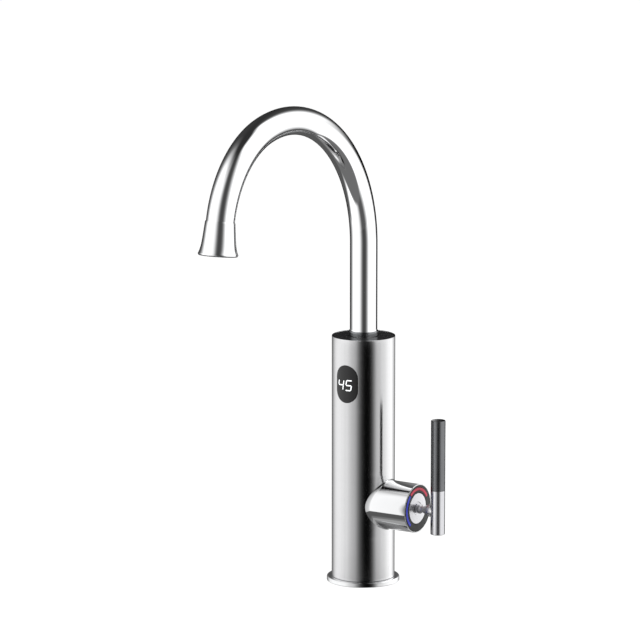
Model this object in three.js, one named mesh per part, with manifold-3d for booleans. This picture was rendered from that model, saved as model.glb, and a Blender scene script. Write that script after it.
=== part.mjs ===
// A boiling water tap: an instantly heating kitchen tap with a tall curved spout, a temperature
// display and a pin lever on its side. Millimetres, +Z up. The origin is the middle of the base,
// on the worktop. The spout and the display face -Y, and the lever is on +X.
//
// Water comes up through the base, past the flow sensor, to a rotary valve in the side boss. The
// valve sends it through the heater tank, or round the tank through the bypass pipe. Both ways end
// in the socket that the spout turns in.
import * as THREE from "three";
import { mergeVertices } from "three/addons/utils/BufferGeometryUtils.js";
import Module from "manifold-3d";

const wasm = await Module();
wasm.setup();

// ---------------------------------------------------------------- driving dimensions

// Gaps between pieces
const SEAT_GAP = 0.2; // between two pieces that bear on each other
const RUNNING_GAP = 0.3; // round a piece that turns inside another
const PIPE_GAP = 0.3; // round a pipe in its socket
const SEAL_GAP = 0.1; // between a soft seal and what it seals
const PAST = 1; // how far a cut runs past the face that it opens

// Body
const BODY_RADIUS = 26;
const BODY_TOP = 205.4;
const SHELL_WALL = 1.2;
const CAP_THICKNESS = 1.8;
const CAP_SINK = 0.1; // of the cap's face below the shell's rim

// Base
const FLANGE_OVERHANG = 4; // beyond the body
const FLANGE_HEIGHT = 3.8;
const FLANGE_ROUND = 0.9;
const SPIGOT_HEIGHT = 10;
const SPIGOT_WALL = 2;
const MANIFOLD_LEDGE = 2.4; // of the manifold's shoulder, over the flange
const MANIFOLD_HEIGHT = 24;
const GASKET_INSET = 2; // from the flange's edge
const GASKET_WIDTH = 4;
const GASKET_THICKNESS = 1.6;
const PORT_DEPTH = 14;
const HOSE_PORT_RADIUS = 4.5; // M10 tapping for the cold supply hose
const STUD_PORT_RADIUS = 3.5; // M8 tapping for a mounting stud
const HOSE_PORT_EDGE = 4; // brass left outside the hose port
const STUD_PORT_EDGE = 3;
const WATERWAY_RADIUS = 2.6;
const CABLE_RADIUS = 3.6;
const GLAND_WALL = 1.4;
const GLAND_HEAD = [1.6, 3.3]; // how much wider than its sleeve, and how tall

// Spout
const TUBE_RADIUS = 11.25;
const TUBE_WALL = 1;
const STRAIGHT_LENGTH = 75.8; // of the spout above the body
const RISING_RADIUS = 113.2;
const FALLING_RADIUS = 82.7;
const RISING_SWEEP = 105.7; // degrees turned on the rising radius
const SPOUT_SWEEP = 173; // degrees turned at the end of the tube
const SOCKET_DEPTH = 27; // of the spout's socket, down from the top of the body
const SOCKET_WALL = 1.7;
const SOCKET_FLOOR = 3;
const SOCKET_RIM = 4;
const TUBE_CLEARANCE = 4; // between the tube and the bottom of its socket
const RING_NUT_HEIGHT = 2.6;
const COLLAR_HEIGHT = 4;
const COLLAR_WALL = 0.5;
const BUSH_WALL = 1.5;
const O_RING_SECTION = 1.8;
const GROOVE_DEPTH = 0.9;
const GROOVE_STEPS = [3, 9]; // of the two grooves, up from the foot of the bush

// Outlet
const BELL_LENGTH = 20.3;
const BELL_MOUTH_RADIUS = 15.9;
const BELL_NECK_STEP = 0.4;
const BELL_WALL = 1.4;
const BELL_LIP = 1.2; // height of the straight lip at the mouth
const AERATOR_INSET = 4.4; // of the aerator from the outside of the mouth
const CARRIER_SINK = 0.6; // of the aerator's carrier, up from the mouth
const CARRIER_WALL = 1.3;
const GRILLE_THICKNESS = 2.4;
const GRILLE_HOLE = 3;
const GRILLE_BAR = 1.2;
const WASHER_WIDTH = 2.4;

// Side boss and valve
const VALVE_HEIGHT = 66.8; // of the boss's axis over the worktop
const BOSS_RADIUS = 20.1;
const BOSS_REACH = 27.2; // out from the body's surface
const BOSS_WALL = 2.3;
const RIM_WALL = 0.8; // of the boss, round the face ring
const HOUSING_INNER_END = -8; // of the valve housing, from the body's axis
const HOUSING_SINK = 9.2; // of the housing's mouth behind the boss's face
const HOUSING_WALL = 4;
const CAVITY_DEPTH = 26;
const CARTRIDGE_WALL = 2;
const SEAL_THICKNESS = 1;
const DISC_THICKNESS = 3;
const CARRIER_PLATE = 4; // thickness of the spindle's plate behind the moving disc
const CARRIER_ROOM = 8; // length of the cartridge's wide bore over the discs
const NECK_LENGTH = 9; // of the cartridge's narrow neck
const NECK_WALL = 2.1;
const SPINDLE_RADIUS = 5;
const SPLINE_RADIUS = 3.7;
const DISC_PORT = [2.5, 2]; // of each port in the discs: in from the rim, and half its width
const NUT_HEAD = 2.8;

// Face of the boss
const FACE_RING_WIDTH = 7.4; // from the hub's disc to the outside of the boss
const FACE_DEPTH = 2.8;
const ARC_INSET = 2.3; // from the hub's disc
const ARC_WIDTH = 2.2;
const HOT_ARC = [-62, 38]; // degrees from straight up, positive towards the front
const ARC_BREAK = 4; // degrees between the hot and the cold indicator
const COLD_ARC = [HOT_ARC[1] + ARC_BREAK, 140];
const LIGHT_BOARD_THICKNESS = 1.2;

// Lever
const LEVER_RADIUS = 5.95;
const LEVER_REACH = 19.25; // of the lever's axis, out from the boss's face
const LEVER_BELOW = 18.9; // of the lever, under the boss's axis
const LEVER_ABOVE = 75.9;
const GRIP_START = 18; // of the dark grip, over the boss's axis
const STEM_RADIUS = 4;
const STEM_COLLAR = 3.2; // length of the stem's wide root
const STEM_NECK_RADIUS = 3.3;
const STEM_NECK_END = 7; // of the neck, from the face of the boss
const STEM_FLARE_RADIUS = 4.8;
const CORE_RADIUS = 3.1;
const TENON_RADIUS = 2.2;
const TENON_LENGTH = 1.6;
const HUB_SETBACK = 0.8; // of the hub's socket inside the neck of the cartridge
const LEVER_PLUG = 7; // solid length at the foot of the sleeve
const LEVER_ROOF = 3; // thickness of the grip's closed top
const SET_SCREW_RADIUS = 2;
const EDGE = 0.4; // chamfer on turned edges

// Display
const WINDOW_WIDTH = 20.5;
const WINDOW_HEIGHT = 31;
const WINDOW_DROP = 36.7; // of the window's middle under the top of the body
const WINDOW_THICKNESS = 1.1;
const SEAL_OVERLAP = 1.5; // of the window's seal, inwards and outwards of its edge
const DIGIT_WIDTH = 6.2;
const DIGIT_HEIGHT = 9.6;
const DIGIT_SPACE = 1.4;
const SEGMENT_WIDTH = 1.1;
const SEGMENT_GAP = 0.2;
const BOARD_THICKNESS = 1.6;
const DISPLAY_SINK = 6.6; // of the display board behind the shell's inside
const DISPLAY_BOARD_WIDTH = 19;
const DISPLAY_BOARD_FOOT = 5.7; // of the display board over the tank's lid
const DIGIT_TO_WINDOW = 0.9; // behind the window, at the outer edges of the two digits
const SEGMENT_DEPTH = 1.2;

// Heater
const TANK_WALL = 1;
const TANK_TO_SHELL = 1.8; // on the lever's side
const TANK_TO_PIPE = 0.7;
const TANK_TO_VALVE = 3.7;
const BOARD_ROOM = 29.8; // between the tank and the spout's socket
const LID_THICKNESS = 3;
const LID_SPIGOT = 3; // depth of the lid's spigot in the tank
const TANK_SEAL = [1.4, 0.6]; // room for the seal: its height, and in from the tank's wall
const COIL_TO_TANK = 4.5;
const COIL_ROD_RADIUS = 2.5;
const COIL_PITCH = 8.2;
const COIL_ENDS = [9, 12]; // of the coil, over the tank's bottom and under its lid
const COIL_TERMINAL = 3; // of each end of the coil, over the lid
const PILLAR_HEIGHT = 4.8;
const PILLAR_RADIUS = 2.2;
const PILLAR_EDGE = 2; // from a pillar to the lid's edge
const LID_EDGE = 1; // from the thermal cut-out to the lid's edge
const PROBE_RADIUS = 1.5;
const PROBE_INSET = 7.3; // of the probe's middle from the lid's edge
const PROBE_DEPTH = 12; // under the lid
const CUTOUT_RADIUS = 4.5;
const BOARD_TO_SHELL = 2;
const BOARD_TO_PIPE = 4.7; // beside the bypass pipe, which has begun to lean in here
const RELAY = [10, 14, 12];
const RELAY_INSET = 2.8; // of the relay from the board's edge
const TERMINAL_WIDTH = 8;
const TERMINAL_HEIGHT = 9;
const TERMINAL_INSET = 4.8;
const SCREW_WELL = 1.5; // radius of the wells over the terminal screws

// Pipes and flow sensor
const PIPE_RADIUS = 3;
const PIPE_WALL = 0.9;
const PIPE_TO_SHELL = 1.1;
const S_BEND_DROP = 3.2; // of the bypass pipe's S-bend, under the top of the power board
const UPRIGHT_END = 6; // of the bypass pipe, over its S-bend
const PORT_WAY_RADIUS = 2; // of the drilled ways in the valve housing
const SENSOR_RADIUS = 7.5;
const SENSOR_WALL = 1.6;
const SENSOR_NECK_RADIUS = 4;
const NECK_TO_WAY = 3; // between the neck and the end of its port in the valve housing
const ROTOR_TIP_GAP = 0.7; // between the blades and the sensor's chamber
const ROTOR_HUB_RADIUS = 1.8;
const AXLE_RADIUS = 0.6;
const BLADE_THICKNESS = 1;

// Facets round a circle
const LARGE = 32;
const MEDIUM = 24;
const SMALL = 10;

// ---------------------------------------------------------------- values worked out from them

const shellInner = BODY_RADIUS - SHELL_WALL;
const flangeRadius = BODY_RADIUS + FLANGE_OVERHANG;
const spigotOuter = shellInner - SEAT_GAP;
const shoulderRadius = spigotOuter - SPIGOT_WALL - SEAT_GAP;
const manifoldRadius = shoulderRadius - MANIFOLD_LEDGE;
const hosePortOffset = manifoldRadius - HOSE_PORT_RADIUS - HOSE_PORT_EDGE;
const studPortOffset = manifoldRadius - STUD_PORT_RADIUS - STUD_PORT_EDGE;

const socketTop = BODY_TOP - CAP_THICKNESS - SEAT_GAP;
const socketBottom = BODY_TOP - SOCKET_DEPTH;
const bushInner = TUBE_RADIUS + SEAT_GAP;
const bushOuter = bushInner + BUSH_WALL;
const socketBore = bushOuter + RUNNING_GAP;
const tubeBottom = socketBottom + TUBE_CLEARANCE;

const bossFace = BODY_RADIUS + BOSS_REACH;
const bossBore = BOSS_RADIUS - BOSS_WALL;
const housingRadius = bossBore - RUNNING_GAP;
const housingMouth = bossFace - HOUSING_SINK;
const cavityRadius = housingRadius - HOUSING_WALL;
const cavityFloor = housingMouth - CAVITY_DEPTH;
const cartridgeRadius = cavityRadius - SEAT_GAP;
const discRadius = cartridgeRadius - CARTRIDGE_WALL - RUNNING_GAP;
const neckRadius = SPINDLE_RADIUS + RUNNING_GAP + NECK_WALL;
const hubRadius = BOSS_RADIUS - FACE_RING_WIDTH;
const faceFloor = bossFace - FACE_DEPTH;
const leverAxis = bossFace + LEVER_REACH;

// Heights up the valve's axis of the pieces in the cartridge, one behind the other
const sealStart = cavityFloor + SEAT_GAP;
const fixedDiscStart = sealStart + SEAL_THICKNESS + SEAT_GAP;
const movingDiscStart = fixedDiscStart + DISC_THICKNESS + SEAT_GAP;
const carrierStart = movingDiscStart + DISC_THICKNESS + SEAT_GAP;
const neckStart = carrierStart + CARRIER_ROOM;
const neckEnd = neckStart + NECK_LENGTH;
const neckShoulder = neckStart + 4;

const pipePath = shellInner - PIPE_TO_SHELL - PIPE_RADIUS; // of the bypass pipe, from the axis
const tankRadius = (shellInner - TANK_TO_SHELL - TANK_TO_PIPE + pipePath - PIPE_RADIUS) / 2;
const tankOffset = shellInner - TANK_TO_SHELL - tankRadius; // towards the lever
const tankBottom = VALVE_HEIGHT + housingRadius + TANK_TO_VALVE;
const tankTop = socketBottom - BOARD_ROOM;
const lidBottom = tankTop + TANK_SEAL[0];
const lidTop = lidBottom + LID_THICKNESS;
const lidSpigotRadius = tankRadius - TANK_WALL - SEAT_GAP - TANK_SEAL[1];
const coilRadius = tankRadius - TANK_WALL - COIL_TO_TANK - COIL_ROD_RADIUS;
const boardBottom = lidTop + PILLAR_HEIGHT + SEAT_GAP;
const boardTop = boardBottom + BOARD_THICKNESS;
const boardRadius = shellInner - BOARD_TO_SHELL;
const boardSide = -(pipePath - PIPE_RADIUS - BOARD_TO_PIPE); // the board's edge by the bypass pipe

const windowCentre = BODY_TOP - WINDOW_DROP;
const displayFront = shellInner - DISPLAY_SINK; // of the display board, in front of the axis

// Where the upright pipes stand, as [x, y]
const riserReach = socketBore - PIPE_RADIUS;
const hotRiser = around(0, 0, riserReach, 61);
const coldRiser = [2 - riserReach, 0];
const tankFeed = [4, -8];

/** The point at a distance and an angle in degrees from a middle, as [x, y]. */
function around(x, y, reach, degrees) {
  const angle = THREE.MathUtils.degToRad(degrees);
  return [x + reach * Math.cos(angle), y + reach * Math.sin(angle)];
}

// ---------------------------------------------------------------- helpers

/** A closed three.js geometry as a solid, with its faces turned outwards. */
function solidOf(source) {
  const bare = source.clone();
  bare.deleteAttribute("normal");
  bare.deleteAttribute("uv");
  const merged = mergeVertices(bare, 1e-4);
  const index = merged.index.array;
  const faces = [];
  for (let i = 0; i < index.length; i += 3) {
    const [a, b, c] = index.subarray(i, i + 3);
    if (a !== b && b !== c && c !== a) faces.push(a, b, c);
  }
  const build = (triVerts) =>
    new wasm.Manifold(
      new wasm.Mesh({ numProp: 3, vertProperties: merged.attributes.position.array, triVerts }),
    );
  const made = build(new Uint32Array(faces));
  return made.volume() < 0 ? build(new Uint32Array(faces.reverse())) : made;
}

/** A solid as a three.js geometry. */
function geometryOf(solid) {
  const { numVert, numProp, vertProperties, triVerts } = solid.getMesh();
  const positions = new Float32Array(numVert * 3);
  for (let i = 0; i < numVert; i++)
    positions.set(vertProperties.subarray(i * numProp, i * numProp + 3), i * 3);
  const geometry = new THREE.BufferGeometry();
  geometry.setAttribute("position", new THREE.BufferAttribute(positions, 3));
  geometry.setIndex(new THREE.BufferAttribute(triVerts, 1));
  geometry.computeVertexNormals();
  return geometry;
}

/** Cuts every later solid from the first. */
function cut(solid, ...tools) {
  return tools.reduce((left, tool) => left.subtract(tool), solid);
}

/** Joins solids into one. */
function join(...solids) {
  return solids.reduce((all, solid) => all.add(solid));
}

/** Turns a closed outline of [radius, height] points round +Z. */
function turned(outline, facets = MEDIUM) {
  const points = [...outline, outline[0]].map(([r, z]) => new THREE.Vector2(r, z));
  return solidOf(new THREE.LatheGeometry(points, facets).rotateX(Math.PI / 2));
}

/** A flat-ended cylinder round +Z, from bottom to top, standing at [x, y]. */
function rod(radius, bottom, top, facets = SMALL, [x, y] = [0, 0]) {
  const outline = [[0, bottom], [radius, bottom], [radius, top], [0, top]];
  return turned(outline, facets).translate([x, y, 0]);
}

/** A pipe-shaped ring round +Z. */
function ring(inner, outer, bottom, top, facets = MEDIUM) {
  return turned([[inner, bottom], [outer, bottom], [outer, top], [inner, top]], facets);
}

/** A box between two corners. */
function block(low, high) {
  const size = high.map((value, k) => value - low[k]);
  const middle = high.map((value, k) => (value + low[k]) / 2);
  return solidOf(new THREE.BoxGeometry(...size)).translate(middle);
}

/** A shape drawn in the front view, X across and Z up, pushed from y = near back to y = far. */
function frontPrism(shape, near, far) {
  const options = { depth: far - near, bevelEnabled: false, curveSegments: SMALL };
  const prism = new THREE.ExtrudeGeometry(shape, options).rotateX(Math.PI / 2);
  return solidOf(prism).translate([0, far, 0]);
}

/** A shape drawn in plan, X and Y, standing from bottom to top. */
function planPrism(shape, bottom, top) {
  const options = { depth: top - bottom, bevelEnabled: false, curveSegments: SMALL };
  return solidOf(new THREE.ExtrudeGeometry(shape, options)).translate([0, 0, bottom]);
}

/** An upright slot with round ends, in the front view. */
function slotShape(width, height, centre) {
  const r = width / 2;
  const straight = height / 2 - r;
  const shape = new THREE.Shape();
  shape.absarc(0, centre + straight, r, 0, Math.PI, false);
  shape.absarc(0, centre - straight, r, Math.PI, 2 * Math.PI, false);
  shape.closePath();
  return shape;
}

/** A flat arc between two radii. Angles are in degrees, anticlockwise from +X. */
function arcShape(inner, outer, from, to) {
  const [start, end] = [from, to].map(THREE.MathUtils.degToRad);
  const shape = new THREE.Shape();
  shape.absarc(0, 0, outer, start, end, false);
  shape.absarc(0, 0, inner, end, start, true);
  shape.closePath();
  return shape;
}

/** A round bar along a curve, or a pipe if it has an inner radius. */
function swept(curve, radius, inner, steps, segments) {
  const section = new THREE.Shape().absarc(0, 0, radius, 0, 2 * Math.PI, false);
  if (inner > 0) section.holes.push(new THREE.Path().absarc(0, 0, inner, 0, 2 * Math.PI, true));
  const options = { steps, curveSegments: segments, bevelEnabled: false, extrudePath: curve };
  return solidOf(new THREE.ExtrudeGeometry(section, options));
}

/** Turns a solid built round +Z so that it lies round +X. */
function lyingOnX(solid) {
  return solid.rotate([0, 90, 0]);
}

function material(color, roughness, metalness) {
  return new THREE.MeshStandardMaterial({ color, roughness, metalness });
}

/** Adds a solid to a group as a named mesh. */
function add(group, name, solid, look) {
  const mesh = new THREE.Mesh(geometryOf(solid), look);
  mesh.name = name;
  group.add(mesh);
}

// ---------------------------------------------------------------- materials

const chrome = material(0xd8dadc, 0.05, 1);
const brushedSteel = material(0xb8b9ba, 0.28, 1);
const spunSteel = material(0xd6d7d8, 0.2, 1);
const plainSteel = material(0xa9abad, 0.4, 1);
const brass = material(0xc2a25a, 0.35, 1);
const glossBlack = material(0x1c1c1d, 0.12, 0);
const darkGrip = material(0x3e3f40, 0.38, 0.6);
const darkRing = material(0x3a3b3a, 0.4, 0);
const hotLight = material(0xc23a50, 0.3, 0);
const coldLight = material(0x2e3a9a, 0.3, 0);
const whitePlastic = material(0xe6e4de, 0.45, 0);
const greyPlastic = material(0x8b8d8f, 0.5, 0);
const rubber = material(0x202020, 0.8, 0);
const ceramic = material(0xf1eee6, 0.25, 0);
const boardGreen = material(0x1f5a3a, 0.5, 0);
const digitLight = material(0xf4f6f6, 0.4, 0);

// ---------------------------------------------------------------- base

/** The flange that covers the hole in the worktop, with the spigot that the shell sits on. */
function baseFlange() {
  const spigotTop = FLANGE_HEIGHT + SPIGOT_HEIGHT;
  const inner = manifoldRadius + SEAT_GAP;
  const grooveTop = GASKET_THICKNESS + SEAT_GAP;
  const grooveOuter = flangeRadius - GASKET_INSET + SEAT_GAP;
  const grooveInner = grooveOuter - GASKET_WIDTH - 2 * SEAT_GAP;
  const corner = [0, 30, 60, 90].map((degrees) =>
    around(flangeRadius - FLANGE_ROUND, FLANGE_HEIGHT - FLANGE_ROUND, FLANGE_ROUND, degrees),
  );
  return turned(
    [
      [inner, 0], [grooveInner, 0], [grooveInner, grooveTop], [grooveOuter, grooveTop],
      [grooveOuter, 0], [flangeRadius - EDGE, 0], [flangeRadius, EDGE], ...corner,
      [spigotOuter, FLANGE_HEIGHT], [spigotOuter, spigotTop],
      [spigotOuter - SPIGOT_WALL, spigotTop], [spigotOuter - SPIGOT_WALL, FLANGE_HEIGHT],
      [inner, FLANGE_HEIGHT],
    ],
    LARGE,
  );
}

/** The brass block in the base: hose port, two stud ports, and the way through for the cable. */
function baseManifold() {
  const shoulder = FLANGE_HEIGHT + SEAT_GAP;
  const body = turned(
    [[0, 0], [manifoldRadius, 0], [manifoldRadius, shoulder], [shoulderRadius, shoulder],
      [shoulderRadius, MANIFOLD_HEIGHT], [0, MANIFOLD_HEIGHT]],
    LARGE,
  );
  const through = MANIFOLD_HEIGHT + PAST;
  const hosePort = [0, hosePortOffset];
  return cut(
    body,
    rod(HOSE_PORT_RADIUS, -PAST, PORT_DEPTH, SMALL, hosePort),
    rod(WATERWAY_RADIUS, PORT_DEPTH - PAST, through, SMALL, hosePort),
    rod(CABLE_RADIUS + GLAND_WALL + SEAT_GAP, -PAST, through, SMALL, [0, -hosePortOffset]),
    rod(STUD_PORT_RADIUS, -PAST, PORT_DEPTH, SMALL, [studPortOffset, 0]),
    rod(STUD_PORT_RADIUS, -PAST, PORT_DEPTH, SMALL, [-studPortOffset, 0]),
  );
}

/** The bush that the supply cable comes in through. */
function cableGland() {
  const outer = CABLE_RADIUS + GLAND_WALL;
  const [overhang, height] = GLAND_HEAD;
  const head = MANIFOLD_HEIGHT + SEAT_GAP;
  return turned(
    [[CABLE_RADIUS, EDGE], [outer, EDGE], [outer, head], [outer + overhang, head],
      [outer + overhang, head + height], [CABLE_RADIUS, head + height]],
    SMALL,
  ).translate([0, -hosePortOffset, 0]);
}

function addBase(group) {
  add(group, "base_flange", baseFlange(), chrome);
  const gasketOuter = flangeRadius - GASKET_INSET;
  const gasket = ring(gasketOuter - GASKET_WIDTH, gasketOuter, 0, GASKET_THICKNESS, LARGE);
  add(group, "worktop_gasket", gasket, rubber);
  add(group, "base_manifold", baseManifold(), brass);
  add(group, "cable_gland", cableGland(), rubber);
}

// ---------------------------------------------------------------- body

/** The brushed shell, with the display's opening in front and the valve's opening at the side. */
function bodyShell() {
  const wall = ring(shellInner, BODY_RADIUS, FLANGE_HEIGHT + SEAT_GAP, BODY_TOP, LARGE);
  const opening = slotShape(WINDOW_WIDTH + 2 * SEAT_GAP, WINDOW_HEIGHT + 2 * SEAT_GAP, windowCentre);
  const side = lyingOnX(rod(bossBore, 0, BODY_RADIUS + PAST, LARGE));
  return cut(
    wall,
    frontPrism(opening, -BODY_RADIUS - PAST, 0),
    side.translate([0, 0, VALVE_HEIGHT]),
  );
}

/** The gloss cover round the foot of the spout. */
function topCap() {
  const inner = TUBE_RADIUS + RUNNING_GAP;
  return ring(inner, spigotOuter, BODY_TOP - CAP_THICKNESS, BODY_TOP - CAP_SINK, LARGE);
}

/** The brass cup that the spout turns in. Its floor takes the hot and the cold pipe. */
function spoutSocket() {
  const outer = socketBore + SOCKET_WALL;
  const floorTop = socketBottom + SOCKET_FLOOR;
  const rim = socketTop - SOCKET_RIM;
  const cup = turned(
    [[0, socketBottom], [outer, socketBottom], [outer, rim], [spigotOuter, rim],
      [spigotOuter, socketTop], [socketBore, socketTop], [socketBore, floorTop], [0, floorTop]],
    LARGE,
  );
  const ports = [hotRiser, coldRiser].map((place) =>
    rod(PIPE_RADIUS + PIPE_GAP, socketBottom - PAST, floorTop + PAST, SMALL, place),
  );
  return cut(cup, ...ports);
}

/** The ring that is screwed into the top of the socket and keeps the spout's bush down. */
function swivelRingNut() {
  const inner = TUBE_RADIUS + RUNNING_GAP;
  return ring(inner, socketBore - SEAT_GAP, socketTop - RING_NUT_HEIGHT, socketTop, LARGE);
}

function addBody(group) {
  add(group, "body_shell", bodyShell(), brushedSteel);
  add(group, "top_cap", topCap(), glossBlack);
  add(group, "spout_socket", spoutSocket(), brass);
  add(group, "swivel_ring_nut", swivelRingNut(), brass);
}

// ---------------------------------------------------------------- spout

/** A stretch of the spout's centreline: a circle's arc in the plane of the spout. */
class SpoutArc extends THREE.Curve {
  /** The centre is [forward, up], and the angles are the degrees turned from straight up. */
  constructor(centre, radius, from, to) {
    super();
    Object.assign(this, { centre, radius, from, to });
  }

  getPoint(t, target = new THREE.Vector3()) {
    const turn = this.from + (this.to - this.from) * t;
    const [forward, up] = around(...this.centre, this.radius, 180 - turn);
    return target.set(0, -forward, up);
  }
}

/** The centreline of the spout: straight up, then two arcs that join smoothly. */
function spoutPath() {
  const spring = BODY_TOP + STRAIGHT_LENGTH;
  const rising = [RISING_RADIUS, spring];
  const falling = around(...rising, RISING_RADIUS - FALLING_RADIUS, 180 - RISING_SWEEP);
  const path = new THREE.CurvePath();
  path.add(new THREE.LineCurve3(new THREE.Vector3(0, 0, tubeBottom), new THREE.Vector3(0, 0, spring)));
  path.add(new SpoutArc(rising, RISING_RADIUS, 0, RISING_SWEEP));
  path.add(new SpoutArc(falling, FALLING_RADIUS, RISING_SWEEP, SPOUT_SWEEP));
  return path;
}

/** The bush on the foot of the tube, with a groove for each O-ring. */
function swivelBush(grooves) {
  const top = socketTop - RING_NUT_HEIGHT - SEAT_GAP;
  const floor = bushOuter - GROOVE_DEPTH;
  const steps = grooves.flatMap((low) => {
    const high = low + O_RING_SECTION + 2 * SEAL_GAP;
    return [[bushOuter, low], [floor, low], [floor, high], [bushOuter, high]];
  });
  return turned([
    [bushInner, tubeBottom], [bushOuter, tubeBottom], ...steps, [bushOuter, top], [bushInner, top],
  ]);
}

/** An O-ring that lies in a groove of the bush. */
function spoutORing(groove) {
  const inner = bushOuter - GROOVE_DEPTH + SEAL_GAP;
  const outer = socketBore - 1.5 * SEAL_GAP;
  const bottom = groove + SEAL_GAP;
  const top = bottom + O_RING_SECTION;
  return turned([
    [inner, bottom], [outer - EDGE, bottom], [outer, bottom + EDGE], [outer, top - EDGE],
    [outer - EDGE, top], [inner, top],
  ]);
}

function addSpout(group) {
  const tube = swept(spoutPath(), TUBE_RADIUS, TUBE_RADIUS - TUBE_WALL, 34, 8);
  add(group, "spout_tube", tube, chrome);
  const collarInner = TUBE_RADIUS + SEAT_GAP;
  const collarBottom = BODY_TOP + SEAT_GAP;
  const collar = ring(
    collarInner, collarInner + COLLAR_WALL, collarBottom, collarBottom + COLLAR_HEIGHT, LARGE,
  );
  add(group, "swivel_collar", collar, greyPlastic);
  const grooves = GROOVE_STEPS.map((step) => tubeBottom + step);
  add(group, "swivel_bush", swivelBush(grooves), whitePlastic);
  add(group, "lower_spout_o_ring", spoutORing(grooves[0]), rubber);
  add(group, "upper_spout_o_ring", spoutORing(grooves[1]), rubber);
}

// ---------------------------------------------------------------- outlet

// The outlet is built round +Z, with its neck at 0 and its mouth down at -BELL_LENGTH.
const mouthInner = BELL_MOUTH_RADIUS - BELL_WALL;
const aeratorRadius = BELL_MOUTH_RADIUS - AERATOR_INSET;
const carrierBottom = -BELL_LENGTH + CARRIER_SINK;
const grilleBottom = carrierBottom + EDGE;
const grilleTop = grilleBottom + GRILLE_THICKNESS;
const carrierLedge = grilleTop + 2 * SEAT_GAP + SEAL_THICKNESS;

/** The flared outline from the neck down to the lip, as [radius, height], moved in by an offset. */
function bellOutline(offset) {
  const neck = TUBE_RADIUS + BELL_NECK_STEP;
  const rows = 7;
  return Array.from({ length: rows }, (_, i) => {
    const t = i / (rows - 1);
    const flare = 0.18 * t + 0.82 * t ** 2.4;
    const radius = neck + (BELL_MOUTH_RADIUS - neck) * flare;
    return [radius - offset, -t * (BELL_LENGTH - BELL_LIP)];
  });
}

function outletBell() {
  const outside = bellOutline(0);
  const inside = bellOutline(BELL_WALL).reverse();
  return turned([
    ...outside, [BELL_MOUTH_RADIUS, EDGE - BELL_LENGTH], [BELL_MOUTH_RADIUS - EDGE, -BELL_LENGTH],
    [mouthInner, -BELL_LENGTH], ...inside,
  ]);
}

/** The threaded carrier inside the bell that holds the aerator. It follows the bell's flare. */
function aeratorCarrier() {
  const flare = bellOutline(BELL_WALL + RUNNING_GAP).slice(3).reverse();
  const [mouth] = flare[0];
  const [throat, top] = flare.at(-1);
  return turned([
    [aeratorRadius + SEAT_GAP, carrierBottom], [mouth, carrierBottom], ...flare,
    [throat - CARRIER_WALL, top], [throat - CARRIER_WALL, carrierLedge + CARRIER_WALL],
    [aeratorRadius - CARRIER_WALL, carrierLedge], [aeratorRadius + SEAT_GAP, carrierLedge],
  ]);
}

/** The face of the aerator: square holes in a round plate. */
function aeratorGrille() {
  const pitch = GRILLE_HOLE + GRILLE_BAR;
  const half = GRILLE_HOLE / 2;
  const count = Math.floor(aeratorRadius / pitch);
  const holes = [];
  for (let i = -count; i <= count; i++)
    for (let j = -count; j <= count; j++) {
      const inside = Math.hypot(i, j) * pitch + half < aeratorRadius - GRILLE_BAR;
      if (!inside) continue;
      const [x, y] = [i * pitch, j * pitch];
      holes.push(
        block([x - half, y - half, grilleBottom - PAST], [x + half, y + half, grilleTop + PAST]),
      );
    }
  return cut(rod(aeratorRadius, grilleBottom, grilleTop, MEDIUM), ...holes);
}

function addOutlet(group) {
  const end = spoutPath().getPoint(1);
  const outlet = new THREE.Group();
  outlet.position.copy(end);
  outlet.rotation.x = THREE.MathUtils.degToRad(SPOUT_SWEEP - 180);
  outlet.translateZ(-SEAT_GAP);
  group.add(outlet);
  add(outlet, "outlet_bell", outletBell(), chrome);
  add(outlet, "aerator_housing", aeratorCarrier(), brass);
  add(outlet, "aerator_grille", aeratorGrille(), greyPlastic);
  const washerBottom = grilleTop + SEAT_GAP;
  const washer = ring(
    aeratorRadius - WASHER_WIDTH, aeratorRadius, washerBottom, washerBottom + SEAL_THICKNESS,
  );
  add(outlet, "aerator_washer", washer, rubber);
}

// ---------------------------------------------------------------- valve

// The valve, its boss and the lever's hub are built round +Z and laid on +X by their group, so a
// height here is a distance out from the body's axis. Local +X is down and +Y is the back.

/** The polished side housing, whose root follows the round of the body. */
function valveBoss() {
  const rebate = BOSS_RADIUS - RIM_WALL;
  const rebateFloor = faceFloor - SEAT_GAP - EDGE;
  const root = BODY_RADIUS / 3; // under the body's surface, where the saddle cut takes it away
  const tube = turned(
    [[bossBore, root], [BOSS_RADIUS, root], [BOSS_RADIUS, bossFace - EDGE],
      [BOSS_RADIUS - EDGE, bossFace], [rebate, bossFace], [rebate, rebateFloor],
      [bossBore, rebateFloor]],
    LARGE,
  );
  const reach = BOSS_RADIUS + PAST;
  return cut(tube, lyingOnX(rod(BODY_RADIUS + SEAT_GAP, -reach, reach, LARGE)));
}

/** A hole along the world's Z between two world heights, at world [x, y]. */
function uprightPort([x, y], low, high, radius) {
  return lyingOnX(rod(radius, VALVE_HEIGHT - high, VALVE_HEIGHT - low)).translate([0, y, x]);
}

/** A drilled way in the valve's frame, from a pipe's socket to a port of the fixed disc. */
function drilledWay(from, to) {
  const line = new THREE.LineCurve3(new THREE.Vector3(...from), new THREE.Vector3(...to));
  return swept(line, PORT_WAY_RADIUS, 0, 1, SMALL / 2);
}

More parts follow.
